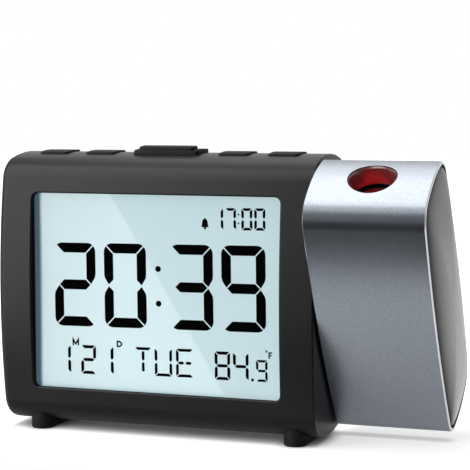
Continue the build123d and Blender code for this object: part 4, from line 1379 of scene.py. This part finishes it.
# ------------------------------------------------------------------------------ display
class Bar(Enum):
    """The bars of a segmented character."""

    TOP = "top"
    UPPER_LEFT = "upper left"
    UPPER_RIGHT = "upper right"
    MIDDLE = "middle"
    LOWER_LEFT = "lower left"
    LOWER_RIGHT = "lower right"
    BOTTOM = "bottom"
    STEM_UPPER = "upper half of the middle stem"
    STEM_LOWER = "lower half of the middle stem"
    DASH_LEFT = "left half of the middle bar"
    DASH_RIGHT = "right half of the middle bar"


RIGHT_SIDE = (Bar.UPPER_RIGHT, Bar.LOWER_RIGHT)
LEFT_SIDE = (Bar.UPPER_LEFT, Bar.LOWER_LEFT)
STEM = (Bar.STEM_UPPER, Bar.STEM_LOWER)
LEVEL = (Bar.TOP, Bar.MIDDLE, Bar.BOTTOM)
TURNED_OVER = (Bar.BOTTOM, Bar.LOWER_LEFT, Bar.LOWER_RIGHT, Bar.STEM_LOWER)
CHARACTERS = {
    "0": (Bar.TOP, *RIGHT_SIDE, Bar.BOTTOM, *LEFT_SIDE),
    "1": RIGHT_SIDE,
    "2": (Bar.TOP, Bar.UPPER_RIGHT, Bar.MIDDLE, Bar.LOWER_LEFT, Bar.BOTTOM),
    "3": (*LEVEL, *RIGHT_SIDE),
    "4": (Bar.UPPER_LEFT, Bar.MIDDLE, *RIGHT_SIDE),
    "7": (Bar.TOP, *RIGHT_SIDE),
    "8": (*LEVEL, *RIGHT_SIDE, *LEFT_SIDE),
    "9": (*LEVEL, *RIGHT_SIDE, Bar.UPPER_LEFT),
    "T": (Bar.TOP, *STEM),
    "U": (*LEFT_SIDE, *RIGHT_SIDE, Bar.BOTTOM),
    "E": (Bar.TOP, Bar.DASH_LEFT, Bar.DASH_RIGHT, Bar.BOTTOM, *LEFT_SIDE),
}


@dataclass(frozen=True)
class Character:
    """One segmented character in its own box: width, height, bar thickness and gap between bars.

    Its roundings and tapers are shares of the bar's thickness.
    """

    text: str
    left: float
    bottom: float
    width: float
    height: float
    bar: float
    gap: float
    rounding: float = 0.9
    taper: tuple = ((0.0, 1.15), (0.07, 0.75), (0.25, 0.38))
    stem_taper: float = 0.3
    stem_tip: float = 0.6

    @property
    def offset(self) -> float:
        """Half the gap, measured along an axis across a 45 degree joint."""
        return self.gap / math.sqrt(2)

    def shoulder(self, side: int, stop_deg: float) -> np.ndarray:
        """Points on the rounded upper left corner, from the gap's edge at 135 degrees.

        Args:
            side: 1 for the side bar's part, -1 for the top bar's.
            stop_deg: the direction where they stop.

        Returns:
            The points.
        """
        radius = self.rounding * self.bar
        lean = math.degrees(self.gap / 2 / radius)
        turn = np.radians(np.linspace(135 + side * lean, stop_deg, 5))
        return arc(radius, self.height - radius, radius, turn)

    def top(self) -> np.ndarray:
        """Top bar: a trapezoid with rounded shoulders and ends cut at 45 degrees."""
        half = np.vstack([(self.bar + self.offset, self.height - self.bar), self.shoulder(-1, 90)])
        return np.vstack([half, half[::-1] * (-1, 1) + (self.width, 0)])

    def side(self) -> np.ndarray:
        """Upper left bar: rounded outside at its top, drawn to a point at the middle.

        Returns:
            The outline.
        """
        middle, bar, offset = self.height / 2, self.bar, self.offset
        (out, high), (inner, mid), (inmost, low) = self.taper
        return np.vstack([self.shoulder(1, 180), (out * bar, middle + high * bar),
                          (inner * bar, middle + mid * bar), (inmost * bar, middle + low * bar + offset),
                          (bar / 2, middle + offset), (bar, middle + bar / 2 + offset),
                          (bar, self.height - bar - offset)])

    def dash(self, start: float, stop: float) -> np.ndarray:
        """Level bar on the middle line, pointed at both ends.

        Args:
            start: its left tip.
            stop: its right tip.

        Returns:
            The outline.
        """
        middle, half = self.height / 2, self.bar / 2
        return np.array([(start, middle), (start + half, middle + half), (stop - half, middle + half),
                         (stop, middle), (stop - half, middle - half), (start + half, middle - half)])

    def stem(self) -> np.ndarray:
        """Upright bar on the centre line above the middle, drawn in at both ends.

        Returns:
            The outline.
        """
        x, half, low = self.width / 2, self.bar / 2, self.height / 2 + self.offset
        high = self.height - self.bar - 2 * self.offset
        drawn, tip = high - self.stem_taper * half, self.stem_tip * half
        return np.array([(x, low), (x + half, low + half), (x + half, drawn), (x + tip, high),
                         (x - tip, high), (x - half, drawn), (x - half, low + half)])

    def outline(self, bar: Bar) -> np.ndarray:
        """Outline of one bar in its place on the glass, where mirrored bars share one shape.

        Args:
            bar: the bar.

        Returns:
            The outline.
        """
        tip, middle = self.bar / 2 + self.offset, self.width / 2
        dashes = {Bar.MIDDLE: (tip, self.width - tip), Bar.DASH_LEFT: (tip, middle - self.offset),
                  Bar.DASH_RIGHT: (middle + self.offset, self.width - tip)}
        if bar in dashes:
            points = self.dash(*dashes[bar])
        elif bar in LEVEL:
            points = self.top()
        else:
            points = self.stem() if bar in STEM else self.side()
        if bar in TURNED_OVER:
            points = points * (1, -1) + (0, self.height)
        if bar in RIGHT_SIDE:
            points = points * (-1, 1) + (self.width, 0)
        return points + (self.left, self.bottom)

    def outlines(self) -> list[np.ndarray]:
        """Outlines of the bars that make up the character."""
        return [self.outline(bar) for bar in CHARACTERS[self.text]]


def stroke(points: list[tuple[float, float]], width: float) -> list[np.ndarray]:
    """Line of even width through points, as four-sided pieces that meet at mitred corners.

    Args:
        points: the line's points; it is closed if the last equals the first.
        width: the line's width.

    Returns:
        One outline for each stretch.
    """
    line = np.array(points, float)
    along = np.diff(line, axis=0)
    along /= np.linalg.norm(along, axis=1, keepdims=True)
    square = columns(-along[:, 1], along[:, 0])
    closed = np.allclose(line[0], line[-1])
    before = np.vstack([square[-1] if closed else square[0], square])
    after = np.vstack([square, square[0] if closed else square[-1]])
    mitre = before + after
    mitre /= (mitre * after).sum(1)[:, None] + TINY
    left, right = line + mitre * width / 2, line - mitre * width / 2
    return [np.array([left[i], left[i + 1], right[i + 1], right[i]]) for i in range(len(along))]


@dataclass(frozen=True)
class DisplayPanel:
    """Display glass and the dark figures on it: time, alarm, date, weekday and temperature.

    A box is a character's width, height, bar thickness and gap.
    """

    front: float = -15.6
    back: float = -13.4
    glass_lap: float = 2.4
    glass_corner: float = 0.4
    ink_depth: float = 0.05
    ink_seat: float = 0.02
    turn_deg: float = 0.7
    time_bottom: float = 35.68
    time_box: tuple = (14.85, 27.65, 3.25, 0.4)
    time_lefts: tuple = (-56.07, -38.12, -15.03, 2.7)
    time_colon: tuple = ((-19.07, 43.94, 0.98), (-19.07, 55.25, 0.98))
    alarm_bottom: float = 68.16
    alarm_box: tuple = (3.69, 7.05, 0.86, 0.26)
    alarm_lefts: tuple = (-0.13, 4.16, 9.63, 13.96)
    alarm_colon: tuple = ((8.69, 70.35, 0.28, 16), (8.69, 73.2, 0.28, 16))
    bell_x: float = -2.7
    bell_span: tuple = (69.05, 71.75)
    bell_dome: tuple = (0.95, 0.45)
    bell_flare: tuple = (0.55, 0.9, 0.35, 2.2)
    bell_knob: tuple = (-0.02, 0.27, 14)
    bell_clapper: tuple = (-0.3, 0.42, 16)
    date_bottom: float = 19.85
    date_box: tuple = (5.42, 9.6, 1.05, 0.28)
    date_lefts: tuple = (-56.09, -46.99, -40.72)
    month: tuple = ((-49.75, 29.25), (-49.75, 31.2), (-48.83, 29.75), (-47.91, 31.2), (-47.91, 29.25))
    day: tuple = ((-33.86, 29.45), (-33.86, 31.05), (-33.1, 31.05), (-32.55, 30.7), (-32.35, 30.25),
                  (-32.55, 29.8), (-33.1, 29.45), (-33.86, 29.45))
    letter_stroke: float = 0.52
    weekday_bottom: float = 20.2
    weekday_box: tuple = (6.1, 9.3, 0.95, 0.28)
    weekday_lefts: tuple = (-27.85, -20.75, -13.31)
    degree_bottom: float = 19.93
    degree_box: tuple = (5.28, 9.22, 1.0, 0.28)
    degree_lefts: tuple = (0.03, 6.26)
    tenth_left: float = 14.02
    tenth_box: tuple = (3.85, 7.0, 0.78, 0.24)
    point: tuple = (12.81, 20.4, 0.5, 16)
    unit: tuple = ((19.5, 29.3), (18.45, 29.3), (18.45, 27.4))
    unit_dash: tuple = ((18.6, 28.45), (19.3, 28.45))
    unit_ring: tuple = (17.55, 29.75, 0.26, 9)
    unit_strokes: tuple = (0.46, 0.4, 0.24)

    @staticmethod
    def line(text: str, lefts: tuple, bottom: float, box: tuple) -> list[np.ndarray]:
        """Outlines of characters of one size along a level line."""
        return [outline for letter, left in zip(text, lefts)
                for outline in Character(letter, left, bottom, *box).outlines()]

    def temperature(self) -> list[np.ndarray]:
        """Temperature with its point, a smaller last figure and its unit.

        Returns:
            The outlines.
        """
        low, ring, (stem, dash, round_stroke) = self.degree_bottom, disc(*self.unit_ring), self.unit_strokes
        return [*self.line("84", self.degree_lefts, low, self.degree_box),
                *self.line("9", (self.tenth_left,), low, self.tenth_box), disc(*self.point),
                *stroke(self.unit, stem), *stroke(self.unit_dash, dash),
                *stroke([*ring, ring[0]], round_stroke)]

    def bell(self) -> list[np.ndarray]:
        """Alarm bell: its half width is a dome plus a flare to the lip, with a knob and a clapper.

        Down the bell by a share s, the dome is width * sqrt(1 - (1 - min(s / end, 1))^2) and the flare
        is flare * clip(s / stop - delay, 0, 1)^power.

        Returns:
            The outlines.
        """
        (low, high), x, share = self.bell_span, self.bell_x, np.linspace(0, 1, 15)
        (width, end), (flare, stop, delay, power) = self.bell_dome, self.bell_flare
        half = (width * np.sqrt(1 - (1 - np.minimum(share / end, 1)) ** 2)
                + flare * np.clip(share / stop - delay, 0, 1) ** power)
        height = high - (high - low) * share
        outline = np.vstack([columns(x + half, height), columns(x - half, height)[::-1]])
        (knob, knob_radius, steps), (drop, radius, count) = self.bell_knob, self.bell_clapper
        return [outline, disc(x, high + knob, knob_radius, steps), disc(x, low + drop, radius, count)]

    def plate(self, outline: np.ndarray) -> Grid:
        """Thin closed plate over an outline on the glass, turned slightly with the panel.

        Args:
            outline: the outline.

        Returns:
            The plate's grid.
        """
        c, s = math.cos(math.radians(self.turn_deg)), math.sin(math.radians(self.turn_deg))
        turned = (outline - LAYOUT.window_centre) @ np.array([[c, s], [-s, c]]) + LAYOUT.window_centre
        return prism(turned, LAYOUT.in_front_view, self.front - self.ink_depth, self.front + self.ink_seat)

    def build(self) -> None:
        """Builds the glass and its figures."""
        ring = rounded_rectangle(LAYOUT.window_width + self.glass_lap, LAYOUT.window_height + self.glass_lap,
                                 self.glass_corner, middle=LAYOUT.window_centre)
        glass = mesh_object("display_glass", prism(ring, LAYOUT.in_front_view, self.front, self.back))
        settle(glass, "clock_body", "display_glass", "display", "lcd_panel")
        groups = {
            "time_figures": [*self.line("2039", self.time_lefts, self.time_bottom, self.time_box),
                             *(disc(*dot) for dot in self.time_colon)],
            "alarm_figures": [*self.line("1700", self.alarm_lefts, self.alarm_bottom, self.alarm_box),
                              *(disc(*dot) for dot in self.alarm_colon), *self.bell()],
            "date_figures": [*self.line("121", self.date_lefts, self.date_bottom, self.date_box),
                             *stroke(self.month, self.letter_stroke), *stroke(self.day, self.letter_stroke)],
            "weekday_figures": self.line("TUE", self.weekday_lefts, self.weekday_bottom, self.weekday_box),
            "temperature_figures": self.temperature(),
        }
        for name, outlines in groups.items():
            figures = mesh_object(name, *map(self.plate, outlines), sharp_deg=30.0)
            settle(figures, "clock_body", "component_black", "ink")


# ------------------------------------------------------------------------------ stage
@dataclass(frozen=True)
class Lamp:
    """A rectangular soft lamp, in metres, that the camera doesn't see.

    Its radiance is its brightness, where 1 is white, so its power is pi * area * radiance.
    """

    name: str
    place: tuple
    aim: tuple
    size: tuple
    radiance: float
    roll_deg: float = 0.0

    def build(self) -> bpy.types.Object:
        """Builds the lamp.

        Returns:
            The lamp.
        """
        data = bpy.data.lights.new(self.name, "AREA")
        data.shape = "RECTANGLE"
        data.size, data.size_y = self.size
        data.energy = math.pi * self.size[0] * self.size[1] * self.radiance
        lamp = linked(self.name, data)
        lamp.location = self.place
        lamp.rotation_mode = "QUATERNION"
        roll = Quaternion((0.0, 0.0, 1.0), math.radians(self.roll_deg))
        lamp.rotation_quaternion = (Vector(self.aim) - Vector(self.place)).to_track_quat("-Z", "Y") @ roll
        lamp.visible_camera = False
        return lamp

    def build_sheen(self, names: list[str]) -> None:
        """Builds the lamp so that it shows in the reflections of some pieces alone.

        Args:
            names: the pieces' names.
        """
        lamp = self.build()
        lamp.visible_diffuse = False
        lamp.light_linking.receiver_collection = bpy.data.collections.new(f"{lamp.name}_pieces")
        for name in names:
            lamp.light_linking.receiver_collection.objects.link(bpy.data.objects[name])


@dataclass(frozen=True)
class Stage:
    """Table, lamps, room and camera."""

    camera_mm: tuple = (171.37, -485.7, 107.06)
    yaw_deg: float = 19.25
    pitch_deg: float = 4.6
    lens_mm: float = 120.485
    sensor_mm: float = 36.0
    clip_start: float = 0.01
    table_front: float = -0.064
    table_reach: float = 3.0
    table_color: tuple = (0.86, 0.86, 0.86)
    table_roughness: float = 0.6
    table_specular: float = 0.1
    footprint: tuple = (0.072, 0.018, 0.0)
    near_lift: float = 0.6
    contact_reach: float = 0.004
    contact_power: float = 1.5
    far_reach: float = 0.22
    far_lift: float = 0.5
    room_light: float = 0.32
    room_front: float = 0.10
    room_fade: tuple = (-0.45, 0.05)
    lamps: tuple = (
        Lamp("top_lamp", (-0.20, -0.03, 0.88), (-0.20, -0.03, 0.0), (0.5, 0.85), 4.0),
        Lamp("back_lamp", (-0.20, 0.60, 0.88), (-0.20, 0.60, 0.0), (0.5, 0.4), 2.1),
    )
    fill: Lamp = Lamp("front_lamp", (-0.64, -0.70, 0.36), (0.0, 0.0, 0.05), (0.9, 1.15), 1.7)
    body_sheen: Lamp = Lamp("body_softbox", (-0.563, -0.62, 0.506), (0.037, 0.04, 0.216),
                            (0.86, 1.45), 9.5)
    sheens: tuple = (
        ("sleeve_skin", Lamp("sleeve_softbox_high", (-0.29, -0.62, 0.78), (0.05, 0.0, 0.05),
                             (0.7, 0.6), 2.0)),
        ("sleeve_skin", Lamp("sleeve_softbox_low", (-0.42, -0.89, 0.22), (0.05, 0.0, 0.05),
                             (0.7, 0.7), 0.5)),
        ("display_glass", Lamp("pane_softbox", (-0.0837, -0.097, 0.0234), (-0.0837, 0.0, 0.0234),
                               (0.074, 0.13), 2.3, 31.9)),
    )
    apart: tuple = ("sleeve_skin", "crowned_cap", "outlet_lining", "front_lens", "window_lens",
                    "display_glass", "time_figures", "alarm_figures", "date_figures", "weekday_figures",
                    "temperature_figures", "table")

    def build_camera(self) -> None:
        """Camera with its yaw to the left and its pitch below the horizon."""
        data = bpy.data.cameras.new("camera")
        data.lens, data.sensor_width, data.clip_start = self.lens_mm, self.sensor_mm, self.clip_start
        camera = linked("camera", data)
        yaw, pitch = math.radians(self.yaw_deg), math.radians(self.pitch_deg)
        forward = Vector((-math.sin(yaw) * math.cos(pitch), math.cos(yaw) * math.cos(pitch),
                          -math.sin(pitch)))
        camera.rotation_mode = "QUATERNION"
        camera.rotation_quaternion = forward.to_track_quat("-Z", "Y")
        camera.location = Vector(self.camera_mm) * MM
        bpy.context.scene.camera = camera

    def build_table(self) -> None:
        """Pale table that keeps the shadow and goes over into the white background away from the object.

        Its own light, for camera and glossy rays, is near_lift times a power of the open share of the
        sky close by. For the camera it rises by far_lift with the distance from the object's footprint,
        length(max(|p| - half sizes, 0)).
        """
        side, front = self.table_reach, self.table_front
        mesh = bpy.data.meshes.new("table")
        mesh.from_pydata([(-side, front, 0), (side, front, 0), (side, side, 0), (-side, side, 0)], [],
                         [(0, 1, 2, 3)])
        table = linked("table", mesh)
        paper = Surface("table_paper")
        rays = paper.node("LightPath").outputs
        seen = paper.math("MAXIMUM", rays["Is Camera Ray"], rays["Is Glossy Ray"])
        beyond = paper.vector("SUBTRACT", paper.vector("ABSOLUTE", paper.place()), self.footprint)
        away = paper.vector("LENGTH", paper.vector("MAXIMUM", beyond))
        fade = paper.remap(away, 0.0, self.far_reach, 0.0, self.far_lift, "SMOOTHSTEP")
        open_sky = paper.node("AmbientOcclusion", {"Distance": self.contact_reach}).outputs["AO"]
        near = paper.math("MULTIPLY", paper.math("POWER", open_sky, self.contact_power), seen)
        far = paper.math("MULTIPLY", fade, rays["Is Camera Ray"])
        mesh.materials.append(paper.feed(
            Base_Color=self.table_color, Roughness=self.table_roughness,
            Specular_IOR_Level=self.table_specular, Emission_Color=(1, 1, 1),
            Emission_Strength=paper.math("MULTIPLY_ADD", near, self.near_lift, far)))

    def build_room(self) -> None:
        """White background for camera, glossy and transmission rays, dim in front, and soft light.

        Glossy and transmission rays see white behind and beside the object, and the dim room where
        their direction points to the front.
        """
        world = bpy.data.worlds.new("room")
        bpy.context.scene.world = world
        world.use_nodes = True
        room = Graph(world.node_tree)
        rays = room.node("LightPath").outputs
        shown = room.remap(room.axis("Y", "Generated"), *self.room_fade, self.room_front, 1.0, "SMOOTHSTEP")
        mirrored = room.math("MAXIMUM", rays["Is Glossy Ray"], rays["Is Transmission Ray"])
        strength = room.choose(mirrored, self.room_light, shown)
        background = room.tree.nodes["Background"].inputs
        room.put(room.choose(rays["Is Camera Ray"], strength, 1.0), background["Strength"])
        room.put((1, 1, 1), background["Color"])

    def build_lamps(self) -> None:
        """Wide lamps overhead, a soft one in front at the left, and softboxes seen in the reflections."""
        for lamp in self.lamps:
            lamp.build()
        self.fill.build().visible_glossy = False
        self.body_sheen.build_sheen([piece.name for piece in bpy.data.objects
                                     if piece.type == "MESH" and piece.name not in self.apart])
        for name, lamp in self.sheens:
            lamp.build_sheen([name])

    def build(self) -> None:
        """Builds the stage."""
        bpy.context.scene.view_settings.view_transform = "Standard"
        self.build_camera()
        self.build_table()
        self.build_room()
        self.build_lamps()


NODE_FINISHES = {
    "black": ("board_parts", "key_switches", "power_socket", "buzzer", "arm_inner_cap", "projector_chassis",
              "lens_barrel", "focus_wheel"),
    "board": ("main_board", "key_board", "led_board"),
    "steel": ("housing_screws", "inner_screws", "arm_screws"),
    "spring": ("battery_contacts", "friction_washer", "hub_clip"),
    "window": ("window_lens",), "guide": ("light_guide",), "white": ("display_tray",),
    "shell": ("battery_lid",), "led": ("projector_led",), "lens": ("condenser_lens",),
    "display": ("projector_lcd",),
}


def main() -> None:
    """Builds every sub-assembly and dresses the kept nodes."""
    logging.basicConfig(level=logging.INFO, format="%(message)s")
    for finish, nodes in NODE_FINISHES.items():
        for node in nodes:
            dress(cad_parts[node], finish)
    keys = TopKeys()
    HousingShells(keys).build()
    keys.build()
    RubberFeet().build()
    ProjectorArm().build()
    DisplayPanel().build()
    Stage().build()


if __name__ == "__main__":
    main()
